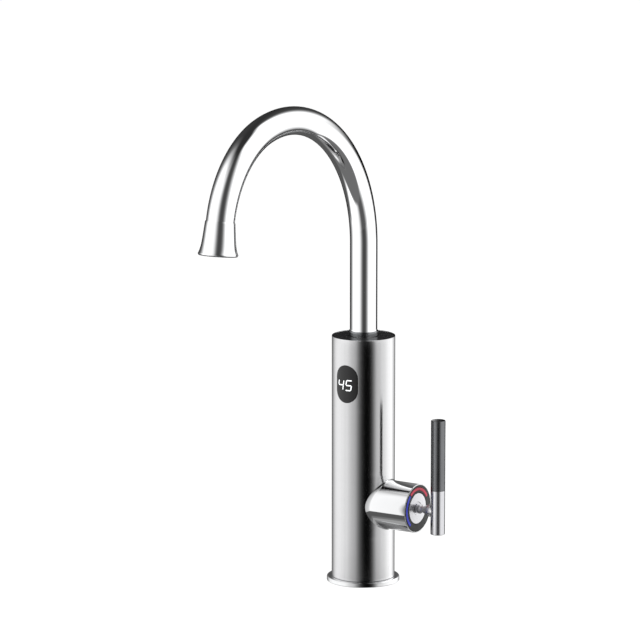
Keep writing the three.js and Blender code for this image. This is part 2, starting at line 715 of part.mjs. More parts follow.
// Where the ports of the ceramic discs lie, in degrees round the valve's axis. A lever turned by
// an angle from straight up is at 180 degrees plus that angle.
const portReach = discRadius - DISC_PORT[0] - DISC_PORT[1];
const hotPort = 180 + (HOT_ARC[0] + HOT_ARC[1]) / 2;
const coldPort = 180 + (COLD_ARC[0] + COLD_ARC[1]) / 2;
const inletTop = VALVE_HEIGHT - 6.8;
const feedBottom = VALVE_HEIGHT + 6.2;

/** The brass valve body: a cavity for the cartridge, its inlet, and its hot and cold outlets. */
function valveHousing() {
  const body = cut(
    rod(housingRadius, HOUSING_INNER_END, housingMouth, LARGE),
    rod(cavityRadius, cavityFloor, housingMouth + PAST, LARGE),
  );
  const socket = PIPE_RADIUS + PIPE_GAP;
  const below = VALVE_HEIGHT - housingRadius - PAST;
  const above = VALVE_HEIGHT + housingRadius + PAST;
  const floor = cavityFloor + PAST;
  const coldEnd = HOUSING_INNER_END + 6;
  return cut(
    body,
    uprightPort([0, hosePortOffset], below, inletTop, SENSOR_NECK_RADIUS + PIPE_GAP),
    uprightPort(tankFeed, feedBottom, above, socket),
    rod(socket, HOUSING_INNER_END - PAST, coldEnd),
    drilledWay([VALVE_HEIGHT - inletTop + PAST, hosePortOffset - PAST, 0], [0, 0, floor]),
    drilledWay(
      [VALVE_HEIGHT - feedBottom - PAST, tankFeed[1], tankFeed[0]],
      [...around(0, 0, portReach, hotPort), floor],
    ),
    drilledWay([0, 0, coldEnd - PAST], [...around(0, 0, portReach, coldPort), floor]),
  );
}

/** The moulded shell of the cartridge: a wide bore over the discs and a narrow neck. */
function cartridgeBody() {
  const bore = discRadius + RUNNING_GAP;
  const shaftBore = SPINDLE_RADIUS + RUNNING_GAP;
  return turned([
    [bore, fixedDiscStart], [cartridgeRadius, fixedDiscStart], [cartridgeRadius, neckShoulder],
    [neckRadius, neckShoulder], [neckRadius, neckEnd], [shaftBore, neckEnd],
    [shaftBore, neckStart], [bore, neckStart],
  ]);
}

/** The fixed disc: the inlet in the middle, and a curved port for each outlet. */
function fixedCeramicDisc() {
  const end = fixedDiscStart + DISC_THICKNESS;
  const [, half] = DISC_PORT;
  const spread = 30;
  const ports = [hotPort, coldPort].map((middle) =>
    planPrism(
      arcShape(portReach - half, portReach + half, middle - spread, middle + spread),
      fixedDiscStart - PAST,
      end + PAST,
    ),
  );
  const inlet = rod(half, fixedDiscStart - PAST, end + PAST);
  return cut(rod(discRadius, fixedDiscStart, end, MEDIUM), inlet, ...ports);
}

/** The moving disc: a slot from the middle out to whichever port the lever points at. */
function movingCeramicDisc() {
  const end = movingDiscStart + DISC_THICKNESS;
  const [, half] = DISC_PORT;
  const disc = rod(discRadius, movingDiscStart, end, MEDIUM);
  return cut(disc, block([-portReach - half, -half, movingDiscStart - PAST], [half, half, end + PAST]));
}

// The groove for the O-ring on the spindle, inside the neck
const shaftGroove = neckStart + 3;

/** The spindle that the lever turns: a plate behind the moving disc, a shaft, and a spline. */
function cartridgeSpindle() {
  const plateEnd = carrierStart + CARRIER_PLATE;
  const grooveEnd = shaftGroove + O_RING_SECTION + 2 * SEAL_GAP;
  const grooveFloor = SPINDLE_RADIUS - GROOVE_DEPTH;
  return turned([
    [0, carrierStart], [discRadius, carrierStart], [discRadius, plateEnd],
    [SPINDLE_RADIUS, plateEnd], [SPINDLE_RADIUS, shaftGroove], [grooveFloor, shaftGroove],
    [grooveFloor, grooveEnd], [SPINDLE_RADIUS, grooveEnd], [SPINDLE_RADIUS, neckEnd],
    [SPLINE_RADIUS, neckEnd], [SPLINE_RADIUS, faceFloor], [0, faceFloor],
  ]);
}

function spindleORing() {
  const inner = SPINDLE_RADIUS - GROOVE_DEPTH + SEAL_GAP;
  const bottom = shaftGroove + SEAL_GAP;
  return ring(inner, SPINDLE_RADIUS + SEAL_GAP, bottom, bottom + O_RING_SECTION);
}

/** The nut that clamps the cartridge: a threaded ring with a six-sided head. */
function cartridgeNut() {
  const bore = neckRadius + SEAT_GAP;
  const headStart = housingMouth + SEAT_GAP;
  const headEnd = headStart + NUT_HEAD;
  const thread = ring(bore, cartridgeRadius, neckShoulder + SEAT_GAP, headStart + EDGE);
  const head = rod(housingRadius - PAST, headStart, headEnd, 6);
  return cut(join(thread, head), rod(bore, neckShoulder, headEnd + PAST, MEDIUM));
}

/** An indicator's outline on the face, grown by a gap on every side. */
function indicatorShape([from, to], gap) {
  const inner = hubRadius + ARC_INSET - gap;
  const outer = hubRadius + ARC_INSET + ARC_WIDTH + gap;
  const side = THREE.MathUtils.radToDeg(gap / inner);
  return arcShape(inner, outer, 180 + from - side, 180 + to + side);
}

/** The dark ring on the face of the boss, with a slot for each indicator. */
function faceRing() {
  const [back, front] = [faceFloor - SEAT_GAP, bossFace - SEAT_GAP];
  const outer = BOSS_RADIUS - RIM_WALL - SEAT_GAP;
  const slots = [HOT_ARC, COLD_ARC].map((arc) =>
    planPrism(indicatorShape(arc, SEAT_GAP), back - PAST, front + PAST),
  );
  return cut(ring(hubRadius + RUNNING_GAP, outer, back, front, LARGE), ...slots);
}

/** A clear arc that carries the light of the indicator board to the face. */
function indicatorArc(arc) {
  return planPrism(indicatorShape(arc, 0), faceFloor - 2 * SEAT_GAP, bossFace - SEAL_GAP);
}

function addValve(group) {
  add(group, "valve_boss", valveBoss(), chrome);
  add(group, "valve_housing", valveHousing(), brass);
  const sealOuter = discRadius + SEAL_THICKNESS;
  const seal = ring(sealOuter - WASHER_WIDTH, sealOuter, sealStart, sealStart + SEAL_THICKNESS);
  add(group, "cartridge_seal", seal, rubber);
  add(group, "fixed_ceramic_disc", fixedCeramicDisc(), ceramic);
  add(group, "cartridge_body", cartridgeBody(), whitePlastic);
  add(group, "cartridge_nut", cartridgeNut(), brass);
  const lightBoardEnd = faceFloor - 3 * SEAT_GAP;
  const lightBoard = ring(
    hubRadius + RUNNING_GAP, bossBore - SEAT_GAP,
    lightBoardEnd - LIGHT_BOARD_THICKNESS, lightBoardEnd, LARGE,
  );
  add(group, "indicator_board", lightBoard, boardGreen);
  add(group, "face_ring", faceRing(), darkRing);
  add(group, "hot_indicator_arc", indicatorArc(HOT_ARC), hotLight);
  add(group, "cold_indicator_arc", indicatorArc(COLD_ARC), coldLight);
}

// ---------------------------------------------------------------- lever

/** The spun disc in the middle of the face, with the socket behind it that grips the spline. */
function leverHub() {
  const front = bossFace - SEAL_GAP;
  const back = faceFloor + SEAT_GAP;
  const socketStart = neckEnd + SEAT_GAP;
  const tenonFloor = front - TENON_LENGTH - SEAT_GAP;
  const disc = rod(hubRadius, back, front, LARGE);
  const socket = rod(neckRadius - HUB_SETBACK, socketStart, back + EDGE, MEDIUM);
  const spline = rod(SPLINE_RADIUS + SEAT_GAP, socketStart - PAST, back, MEDIUM);
  const tenonHole = rod(TENON_RADIUS + SEAT_GAP, tenonFloor, front + PAST);
  return cut(join(disc, socket), spline, tenonHole);
}

/** The turned stem between the hub and the lever, with a tenon at each end. */
function leverStem() {
  const root = bossFace + SEAL_GAP;
  const flareEnd = leverAxis - LEVER_RADIUS + 2; // inside the lever's round, which is then cut away
  const stem = turned([
    [0, root - TENON_LENGTH], [TENON_RADIUS, root - TENON_LENGTH], [TENON_RADIUS, root],
    [STEM_RADIUS, root], [STEM_RADIUS, root + STEM_COLLAR],
    [STEM_NECK_RADIUS, root + STEM_COLLAR + 1], [STEM_NECK_RADIUS, root + STEM_NECK_END],
    [STEM_FLARE_RADIUS, flareEnd], [0, flareEnd],
  ]);
  const reach = STEM_FLARE_RADIUS + PAST;
  const lever = lyingOnX(rod(LEVER_RADIUS + SEAT_GAP, -reach, reach, LARGE));
  const tenon = rod(TENON_RADIUS, root + STEM_NECK_END, leverAxis + 1.5);
  return join(cut(stem, lever.translate([0, 0, leverAxis])), tenon);
}

/** Pieces of the lever that lie round the valve's axis. */
function addLeverHub(group) {
  add(group, "lever_hub", leverHub(), spunSteel);
  add(group, "lever_stem", leverStem(), chrome);
  add(group, "cartridge_spindle", cartridgeSpindle(), plainSteel);
  add(group, "spindle_o_ring", spindleORing(), rubber);
  add(group, "moving_ceramic_disc", movingCeramicDisc(), ceramic);
}

// The upright pieces of the lever are built round +Z, and their heights are the world's.
const leverBottom = VALVE_HEIGHT - LEVER_BELOW;
const leverTop = VALVE_HEIGHT + LEVER_ABOVE;
const gripBottom = VALVE_HEIGHT + GRIP_START;
const leverBore = CORE_RADIUS + SEAT_GAP;
const plugTop = leverBottom + LEVER_PLUG;

/** A cross hole through the lever for the stem's tenon, between two distances from its axis. */
function tenonWay(from, to) {
  const hole = rod(TENON_RADIUS + SEAT_GAP, from, to, MEDIUM);
  return lyingOnX(hole).translate([0, 0, VALVE_HEIGHT]);
}

/** The polished lower sleeve, closed at the bottom and open at the top. */
function leverSleeve() {
  const top = gripBottom - SEAT_GAP;
  const sleeve = turned([
    [0, leverBottom], [LEVER_RADIUS - EDGE, leverBottom], [LEVER_RADIUS, leverBottom + EDGE],
    [LEVER_RADIUS, top], [leverBore, top], [leverBore, plugTop], [0, plugTop],
  ]);
  const screwHole = rod(SET_SCREW_RADIUS + SEAT_GAP, leverBottom - PAST, plugTop + PAST);
  return cut(sleeve, tenonWay(-LEVER_RADIUS - PAST, 0), screwHole);
}

/** The dark upper sleeve that the hand holds. */
function leverGrip() {
  const roof = leverTop - LEVER_ROOF;
  return turned([
    [leverBore, gripBottom], [LEVER_RADIUS, gripBottom], [LEVER_RADIUS, leverTop - EDGE],
    [LEVER_RADIUS - EDGE, leverTop], [0, leverTop], [0, roof], [leverBore, roof],
  ]);
}

/** The steel rod inside both sleeves, cross-drilled for the stem's tenon. */
function leverCore() {
  const core = rod(CORE_RADIUS, plugTop + SEAT_GAP, leverTop - LEVER_ROOF - SEAT_GAP);
  return cut(core, tenonWay(-CORE_RADIUS - PAST, CORE_RADIUS + PAST));
}

/** The set screw in the lever's foot, with a six-sided socket. */
function leverSetScrew() {
  const bottom = leverBottom + 2 * EDGE;
  const socket = rod(SET_SCREW_RADIUS / 2, bottom - PAST, bottom + SET_SCREW_RADIUS, 6);
  return cut(rod(SET_SCREW_RADIUS, bottom, plugTop), socket);
}

/** Pieces of the lever that stand upright. */
function addLeverBar(group) {
  add(group, "lever_sleeve", leverSleeve(), chrome);
  add(group, "lever_grip", leverGrip(), darkGrip);
  add(group, "lever_core", leverCore(), plainSteel);
  add(group, "lever_set_screw", leverSetScrew(), plainSteel);
}

// ---------------------------------------------------------------- display

/** A curved plate that follows the body, as seen through a slot in the front view. */
function curvedPlate(shape, inner, outer) {
  const reach = WINDOW_HEIGHT;
  const wall = ring(inner, outer, windowCentre - reach, windowCentre + reach, LARGE);
  return wall.intersect(frontPrism(shape, -BODY_RADIUS - PAST, -PAST));
}

/** One figure: seven bars of light on a block that stands on the display board. */
function digitBlock(x) {
  const back = -displayFront - SEAT_GAP;
  const reach = DIGIT_WIDTH + DIGIT_SPACE / 2; // of both digits, each way from the middle
  const windowBack = Math.sqrt((BODY_RADIUS - WINDOW_THICKNESS) ** 2 - reach ** 2);
  const face = DIGIT_TO_WINDOW - windowBack;
  const front = face + SEGMENT_DEPTH;
  const root = front + EDGE; // the bars start inside the block
  const [across, tall] = [DIGIT_WIDTH / 2, DIGIT_HEIGHT / 2];
  const half = SEGMENT_WIDTH / 2;
  const edge = SEGMENT_GAP;
  const bars = [];
  for (const level of [-1, 0, 1]) {
    const z = windowCentre + level * (tall - half);
    const end = across - SEGMENT_WIDTH - SEGMENT_GAP;
    bars.push(block([x - end, face, z - half], [x + end, root, z + half]));
  }
  for (const side of [-1, 1])
    for (const level of [-1, 1]) {
      const middle = x + side * (across - half);
      const centre = windowCentre + (level * (tall - half)) / 2;
      const end = (tall - half) / 2 - half - SEGMENT_GAP;
      bars.push(block([middle - half, face, centre - end], [middle + half, root, centre + end]));
    }
  const base = block(
    [x - across - edge, front, windowCentre - tall - edge],
    [x + across + edge, back, windowCentre + tall + edge],
  );
  return join(base, ...bars);
}

function addDisplay(group) {
  const window = slotShape(WINDOW_WIDTH, WINDOW_HEIGHT, windowCentre);
  add(group, "display_window", curvedPlate(window, BODY_RADIUS - WINDOW_THICKNESS, BODY_RADIUS), glossBlack);
  const [outside, inside] = [SEAL_OVERLAP, -SEAL_OVERLAP].map((overlap) =>
    slotShape(WINDOW_WIDTH + 2 * overlap, WINDOW_HEIGHT + 2 * overlap, windowCentre),
  );
  outside.holes.push(inside);
  add(group, "display_seal", curvedPlate(outside, spigotOuter - SEAL_THICKNESS, spigotOuter), rubber);
  const board = block(
    [-DISPLAY_BOARD_WIDTH / 2, -displayFront, lidTop + DISPLAY_BOARD_FOOT],
    [DISPLAY_BOARD_WIDTH / 2, BOARD_THICKNESS - displayFront, socketBottom - RUNNING_GAP],
  );
  add(group, "display_board", board, boardGreen);
  const pitch = DIGIT_WIDTH + DIGIT_SPACE;
  add(group, "display_digit_tens", digitBlock(-pitch / 2), digitLight);
  add(group, "display_digit_units", digitBlock(pitch / 2), digitLight);
}

// ---------------------------------------------------------------- heater and boards

// Places on the tank's lid, as [x, y]
const onLidAt = (inset, degrees) => around(tankOffset, 0, tankRadius - inset, degrees);
const probePlace = onLidAt(PROBE_INSET, 225);
const cutoutPlace = onLidAt(CUTOUT_RADIUS + LID_EDGE, 300);
const pillarPlaces = [35, -25, 138].map((degrees) => onLidAt(PILLAR_RADIUS + PILLAR_EDGE, degrees));

/** The heater tank, an open can with its feed hole in the bottom. */
function heaterTank() {
  const floor = tankBottom + TANK_WALL;
  const inner = tankRadius - TANK_WALL;
  const can = turned(
    [[0, tankBottom], [tankRadius, tankBottom], [tankRadius, tankTop], [inner, tankTop],
      [inner, floor], [0, floor]],
  ).translate([tankOffset, 0, 0]);
  return cut(can, rod(PIPE_RADIUS + PIPE_GAP, tankBottom - PAST, floor + PAST, SMALL, tankFeed));
}

/** The tank's lid, with its holes and the pillars that carry the power board. */
function tankLid() {
  const foot = lidBottom - LID_SPIGOT;
  const plate = turned(
    [[0, foot], [lidSpigotRadius, foot], [lidSpigotRadius, lidBottom], [tankRadius, lidBottom],
      [tankRadius, lidTop], [0, lidTop]],
  ).translate([tankOffset, 0, 0]);
  const pillars = pillarPlaces.map((place) =>
    rod(PILLAR_RADIUS, lidTop - PAST, lidTop + PILLAR_HEIGHT, SMALL, place),
  );
  const holes = [
    [PIPE_RADIUS, hotRiser],
    [COIL_ROD_RADIUS, [tankOffset + coilRadius, 0]],
    [COIL_ROD_RADIUS, [tankOffset, 0]],
    [PROBE_RADIUS, probePlace],
  ].map(([radius, place]) => rod(radius + PIPE_GAP, foot - PAST, lidTop + PAST, SMALL, place));
  return cut(join(plate, ...pillars), ...holes);
}

/** The heating element: a coil in the tank, whose two ends come up through the lid. */
function heatingElement() {
  const low = tankBottom + COIL_ENDS[0];
  const high = lidBottom - COIL_ENDS[1];
  const end = lidTop + COIL_TERMINAL;
  const turns = Math.max(1, Math.round((high - low) / COIL_PITCH));
  const perTurn = 10;
  const at = (x, y, z) => new THREE.Vector3(x, y, z);
  const points = [at(coilRadius, 0, end), at(coilRadius, 0, high + 6)];
  for (let i = 0; i <= turns * perTurn; i++) {
    const [x, y] = around(0, 0, coilRadius, (i / perTurn) * 360);
    points.push(at(x, y, high + ((low - high) * i) / (turns * perTurn)));
  }
  points.push(at(coilRadius * 0.4, coilRadius * 0.35, low - 2));
  points.push(at(0, 0, low + 5), at(0, 0, high), at(0, 0, end));
  const curve = new THREE.CatmullRomCurve3(points, false, "centripetal");
  return swept(curve, COIL_ROD_RADIUS, 0, 14 + turns * perTurn, 3).translate([tankOffset, 0, 0]);
}

/** A straight pipe that stands at a place. */
function uprightPipe([x, y], bottom, top) {
  return ring(PIPE_RADIUS - PIPE_WALL, PIPE_RADIUS, bottom, top, SMALL).translate([x, y, 0]);
}

/** The cold pipe: out of the valve, up beside the tank, and into the floor of the socket. */
function bypassPipe() {
  const at = (x, z) => new THREE.Vector3(x, 0, z);
  const bend = pipePath + HOUSING_INNER_END - PAST; // radius of the corner beside the valve
  const [x] = coldRiser;
  const end = socketBottom + SOCKET_FLOOR - PAST;
  const corner = at(-pipePath, VALVE_HEIGHT);
  const start = at(bend - pipePath, VALVE_HEIGHT);
  const up = at(-pipePath, VALVE_HEIGHT + bend);
  const high = at(-pipePath, boardTop - S_BEND_DROP);
  const top = at(x, end - UPRIGHT_END);
  const half = (top.z - high.z) / 2;
  const path = new THREE.CurvePath();
  path.add(new THREE.LineCurve3(at(HOUSING_INNER_END + 4, VALVE_HEIGHT), start));
  path.add(new THREE.QuadraticBezierCurve3(start, corner, up));
  path.add(new THREE.LineCurve3(up, high));
  path.add(new THREE.CubicBezierCurve3(high, at(-pipePath, high.z + half), at(x, top.z - half), top));
  path.add(new THREE.LineCurve3(top, at(x, end)));
  return swept(path, PIPE_RADIUS, PIPE_RADIUS - PIPE_WALL, 26, 4);
}

/** The power board, cut back in front for the display and at the side for the bypass pipe. */
function powerBoard() {
  const front = displayFront - BOARD_THICKNESS - 3;
  const reach = BODY_RADIUS;
  const keep = block([boardSide, -front, boardBottom - PAST], [reach, reach, boardTop + PAST]);
  const riser = rod(PIPE_RADIUS + PAST, boardBottom - PAST, boardTop + PAST, SMALL, hotRiser);
  return cut(rod(boardRadius, boardBottom, boardTop, MEDIUM).intersect(keep), riser);
}

/** The block where the supply cable's three wires end. */
function terminalBlock() {
  const bottom = boardTop + SEAT_GAP;
  const top = bottom + TERMINAL_HEIGHT;
  const [near, far] = [PIPE_RADIUS + PAST, boardRadius - TERMINAL_INSET];
  const [left, right] = [boardSide + PAST, boardSide + PAST + TERMINAL_WIDTH];
  const middle = (left + right) / 2;
  const screws = [1, 3, 5].map((sixth) => near + ((far - near) * sixth) / 6);
  const holes = screws.map((y) => rod(SCREW_WELL, top - 3, top + PAST, SMALL, [middle, y]));
  return cut(block([left, near, bottom], [right, far, top]), ...holes);
}

function addHeater(group) {
  add(group, "heater_tank", heaterTank(), plainSteel);
  const seal = ring(lidSpigotRadius + SEAT_GAP, tankRadius, tankTop + SEAT_GAP, lidBottom - SEAT_GAP);
  add(group, "tank_seal", seal.translate([tankOffset, 0, 0]), rubber);
  add(group, "tank_lid", tankLid(), plainSteel);
  add(group, "heating_element", heatingElement(), plainSteel);
  const onLid = lidTop + SEAT_GAP;
  add(group, "thermal_cutout", rod(CUTOUT_RADIUS, onLid, onLid + 3.8, SMALL, cutoutPlace), greyPlastic);
  const probe = join(
    rod(PROBE_RADIUS, lidBottom - PROBE_DEPTH, onLid + PAST, SMALL, probePlace),
    rod(PROBE_RADIUS + PAST, onLid, onLid + 2.8, SMALL, probePlace),
  );
  add(group, "temperature_probe", probe, brass);
  const riserTop = socketBottom + SOCKET_FLOOR - PAST;
  add(group, "hot_riser_pipe", uprightPipe(hotRiser, lidBottom, riserTop), plainSteel);
  const feedTop = tankBottom + TANK_WALL + PAST;
  add(group, "tank_feed_pipe", uprightPipe(tankFeed, feedBottom + 3, feedTop), plainSteel);
  add(group, "bypass_pipe", bypassPipe(), plainSteel);
  add(group, "power_board", powerBoard(), boardGreen);
  const [relayX, relayY, relayZ] = RELAY;
  const relayEdge = boardRadius - RELAY_INSET;
  const relay = block(
    [relayEdge - relayX, 3 - relayY, boardTop + SEAT_GAP],
    [relayEdge, 3, boardTop + SEAT_GAP + relayZ],
  );
  add(group, "heater_relay", relay, glossBlack);
  add(group, "terminal_block", terminalBlock(), whitePlastic);
}

// ---------------------------------------------------------------- flow sensor

const sensorBottom = MANIFOLD_HEIGHT + SEAT_GAP;
const sensorTop = VALVE_HEIGHT - housingRadius - SEAT_GAP;

/** The sensor's chamber, whose neck plugs into the underside of the valve. */
function sensorHousing() {
  const chamber = SENSOR_RADIUS - SENSOR_WALL;
  const neckTop = inletTop - NECK_TO_WAY;
  return turned(
    [[WATERWAY_RADIUS, sensorBottom], [SENSOR_RADIUS, sensorBottom],
      [SENSOR_RADIUS, sensorTop - 2], [SENSOR_NECK_RADIUS, sensorTop],
      [SENSOR_NECK_RADIUS, neckTop], [WATERWAY_RADIUS, neckTop], [WATERWAY_RADIUS, sensorTop - 3],
      [chamber, sensorTop - 4], [chamber, sensorBottom + 3], [WATERWAY_RADIUS, sensorBottom + 2]],
    MEDIUM,
  );
}

/** The pin that the rotor spins on, held across the waterway at both ends. */
function sensorAxle() {
  const [low, high] = [sensorBottom + SEAT_GAP, sensorTop - SEAT_GAP];
  const reach = WATERWAY_RADIUS - 2 * SEAT_GAP;
  const half = BLADE_THICKNESS / 2;
  const bars = [low, high - BLADE_THICKNESS].map((z) =>
    block([-reach, -half, z], [reach, half, z + BLADE_THICKNESS]),
  );
  return join(rod(AXLE_RADIUS, low, high), ...bars);
}

/** The rotor: a bored hub with blades all round it. */
function sensorRotor() {
  const [low, high] = [sensorBottom + 4, sensorTop - 5];
  const half = BLADE_THICKNESS / 2;
  const tip = SENSOR_RADIUS - SENSOR_WALL - ROTOR_TIP_GAP;
  const blades = [0, 45, 90, 135].map((degrees) =>
    block([-tip, -half, low + PAST], [tip, half, high - PAST])
      .rotate([0, 0, degrees]),
  );
  const bore = rod(AXLE_RADIUS + RUNNING_GAP, low - PAST, high + PAST);
  return cut(join(rod(ROTOR_HUB_RADIUS, low, high), ...blades), bore);
}

function addFlowSensor(group) {
  add(group, "flow_sensor_housing", sensorHousing(), whitePlastic);
  add(group, "flow_sensor_axle", sensorAxle(), plainSteel);
  add(group, "flow_sensor_rotor", sensorRotor(), glossBlack);
}

// ---------------------------------------------------------------- assembly

const tap = new THREE.Group();
addBase(tap);
addBody(tap);
addSpout(tap);
addOutlet(tap);
addDisplay(tap);
addHeater(tap);

const valve = new THREE.Group();
valve.position.z = VALVE_HEIGHT;
valve.rotation.y = Math.PI / 2;
tap.add(valve);
addValve(valve);
addLeverHub(valve);

const lever = new THREE.Group();
lever.position.x = leverAxis;
tap.add(lever);
addLeverBar(lever);

const flowSensor = new THREE.Group();
flowSensor.position.y = hosePortOffset;
tap.add(flowSensor);
addFlowSensor(flowSensor);

export default tap;
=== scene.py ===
# %% [markdown]
# # A boiling water tap
# The real thing is a kitchen tap with a heater in its round body, a polished swivelling spout, a
# small temperature display and a pin lever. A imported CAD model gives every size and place, and
# this notebook gives the tap its looks. Each visible piece gets a smooth surface that is worked
# out from a formula, and each hidden piece keeps its CAD mesh and gets a finish of its own.
#
# All shapes are computed in millimetres, because that is how the drawing of a tap is written, and
# only the last step into a mesh turns them into Blender's metres.

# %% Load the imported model
import math

import bmesh
import bpy
import numpy as np
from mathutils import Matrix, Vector


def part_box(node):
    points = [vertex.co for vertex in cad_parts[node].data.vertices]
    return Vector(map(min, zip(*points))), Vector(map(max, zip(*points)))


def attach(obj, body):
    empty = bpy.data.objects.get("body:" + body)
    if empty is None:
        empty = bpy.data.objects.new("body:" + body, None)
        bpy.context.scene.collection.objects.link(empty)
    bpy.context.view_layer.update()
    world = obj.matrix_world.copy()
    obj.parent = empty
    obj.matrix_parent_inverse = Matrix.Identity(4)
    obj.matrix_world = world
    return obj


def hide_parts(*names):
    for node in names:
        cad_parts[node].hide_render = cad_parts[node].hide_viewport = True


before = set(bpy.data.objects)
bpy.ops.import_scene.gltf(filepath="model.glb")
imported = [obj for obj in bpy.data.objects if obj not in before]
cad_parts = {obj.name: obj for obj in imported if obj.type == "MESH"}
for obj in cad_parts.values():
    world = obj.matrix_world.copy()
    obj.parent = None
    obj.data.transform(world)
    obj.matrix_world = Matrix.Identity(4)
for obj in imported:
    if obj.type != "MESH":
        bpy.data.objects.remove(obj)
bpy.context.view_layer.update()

MM = 0.001


# %% [markdown]
# ## Sizes from the CAD model
# The sizes could be typed in again, but then a change of the CAD model would leave the visible
# pieces behind. A node's box holds what a round piece needs: its radius, its bottom and its top.

# %% Read a node's box in millimetres
def span(node):
    """The lowest and the highest corner of a CAD node, in millimetres."""
    return [np.array(corner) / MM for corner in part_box(node)]


shell_low, shell_high = span("body_shell")
BODY_RADIUS = shell_high[0]
BODY_TOP = shell_high[2]
SHELL_WALL = 1.2
TUBE_RADIUS = span("spout_tube")[1][0]
boss_low, boss_high = span("valve_boss")
VALVE_HEIGHT = (boss_low[2] + boss_high[2]) / 2
BOSS_RADIUS = (boss_high[2] - boss_low[2]) / 2
BOSS_FACE = boss_high[0]
sleeve_low, sleeve_high = span("lever_sleeve")
grip_low, grip_high = span("lever_grip")
LEVER_RADIUS = (sleeve_high[1] - sleeve_low[1]) / 2
LEVER_AXIS = (sleeve_low[0] + sleeve_high[0]) / 2
print(f"body {2 * BODY_RADIUS:.1f} across, tube {2 * TUBE_RADIUS:.1f}, boss {2 * BOSS_RADIUS:.1f}")


# %% [markdown]
# ## Nodes and colours
# Materials are made of nodes. One function adds a node, sets its fields and joins its inputs, so
# that a material reads as a short list. Colours are written as they look on a screen, in sRGB hex,
# and one function turns them into the linear numbers that the renderer adds up.

# %% Helpers for materials
def linear(code):
    """The linear colour of an sRGB hex code: ((c + 0.055) / 1.055) ^ 2.4 above a short toe."""
    c = np.array([int(code[k:k + 2], 16) for k in (1, 3, 5)]) / 255
    return (*np.where(c <= 0.04045, c / 12.92, ((c + 0.055) / 1.055) ** 2.4).tolist(), 1.0)


def add_node(tree, kind, inputs=(), **fields):
    """Adds a node, sets its fields, and gives its inputs values or links.

    The inputs are named in a dict or stand in order. A node among them means its first output.
    """
    node = tree.nodes.new("ShaderNode" + kind)
    for field, value in fields.items():
        setattr(node, field, value)
    shown = [socket for socket in node.inputs if socket.enabled]
    for socket, value in inputs.items() if isinstance(inputs, dict) else zip(shown, inputs):
        if isinstance(socket, str):
            socket = node.inputs[socket]
        if isinstance(value, bpy.types.Node):
            value = next(output for output in value.outputs if output.enabled)
        if isinstance(value, bpy.types.NodeSocket):
            tree.links.new(value, socket)
        else:
            socket.default_value = value
    return node


def start_material(name):
    """An empty node material, its tree, and its Object coordinates in metres."""
    made = bpy.data.materials.new(name)
    made.use_nodes = True
    made.node_tree.nodes.clear()
    place = add_node(made.node_tree, "TexCoord").outputs["Object"]
    return made, made.node_tree, place


def pattern(tree, place, size, detail=3.0):
    """Noise between 0 and 1 whose blotches measure size millimetres along x, y and z."""
    scale = tuple(1 / (length * MM) for length in size)
    vector = add_node(tree, "Mapping", {"Vector": place, "Scale": scale})
    return add_node(tree, "TexNoise", {"Vector": vector, "Scale": 1.0, "Detail": detail})


# noise seldom leaves this span
NOISE_SPAN = (0.3, 0.7)


def end_surface(made, tree, inputs, colours, rough=None, relief=None):
    """Ends a material as one surface whose inputs follow patterns.

    colours is a pattern and the two hex colours that it runs between, rough a pattern and its
    two roughnesses, and relief a pattern and its depth in millimetres.
    """
    blend, first, second = colours
    inputs["Base Color"] = add_node(
        tree, "Mix", (blend, linear(first), linear(second)), data_type="RGBA")
    if rough:
        inputs["Roughness"] = add_node(tree, "MapRange", (rough[0], *NOISE_SPAN, *rough[1:]))
    if relief:
        height, depth = relief
        inputs["Normal"] = add_node(tree, "Bump", {"Height": height, "Distance": depth * MM})
    shader = add_node(tree, "BsdfPrincipled", inputs)
    add_node(tree, "OutputMaterial", {"Surface": shader})
    return made


# %% [markdown]
# ## The studio
# Polished metal has no look of its own: it shows the room. The tap is lit like a product in a
# studio, with two tall soft boxes left and right of the camera, a dark gap between them where the
# camera stands, and darkness behind. That gap is the dark stripe down the middle of every upright
# tube, and the darkness behind is the thin dark line along every edge.
#
# The boxes could be lamps, but a lamp has hard edges. A drum round the tap that glows by a smooth
# pattern gives soft ones. Only reflections see the drum. Lamps and the world give the light that
# matt pieces need, and the camera sees plain white.

# %% Camera
CAMERA_TURN = math.radians(33.72)
CAMERA_TILT = math.radians(10.62)
CAMERA_DISTANCE = 3309 * MM
AIM_RIGHT = -35.61 * MM
AIM_HEIGHT = 217.9 * MM
SENSOR = 36.0
FOCAL_PIXELS = 4050
FRAME_PIXELS = 640

to_camera = Vector((
    math.sin(CAMERA_TURN) * math.cos(CAMERA_TILT),
    -math.cos(CAMERA_TURN) * math.cos(CAMERA_TILT),
    math.sin(CAMERA_TILT),
))
to_right = Vector((math.cos(CAMERA_TURN), math.sin(CAMERA_TURN), 0))
camera_data = bpy.data.cameras.new("camera")
camera_data.sensor_width = SENSOR
camera_data.lens = FOCAL_PIXELS * SENSOR / FRAME_PIXELS
camera_data.clip_end = 100
camera = bpy.data.objects.new("camera", camera_data)
bpy.context.scene.collection.objects.link(camera)
camera.location = to_right * AIM_RIGHT + Vector((0, 0, AIM_HEIGHT)) + to_camera * CAMERA_DISTANCE
camera.rotation_euler = to_camera.to_track_quat("Z", "Y").to_euler()
bpy.context.scene.camera = camera
bpy.context.scene.view_settings.view_transform = "Standard"
print(f"camera {CAMERA_DISTANCE:.2f} m away, lens {camera_data.lens:.0f} mm")

# %% [markdown]
# ### The drum
# The drum's pattern is brightness by azimuth, counted from the camera, with a dark room over the
# boxes. It is wide and tall, so that every part of the tap sees the same boxes: a near wall would
# show the spout and the lever other parts of itself. A shallow cone under the tap stands for the
# dim worktop. It lies below every reflection off upright pieces, so only the boss, the bell and
# the underside of the arch see it, and it gives them their grey.
#
# The brightness could be painted as a picture, but a short list of angles and levels is easier to
# read and to change.

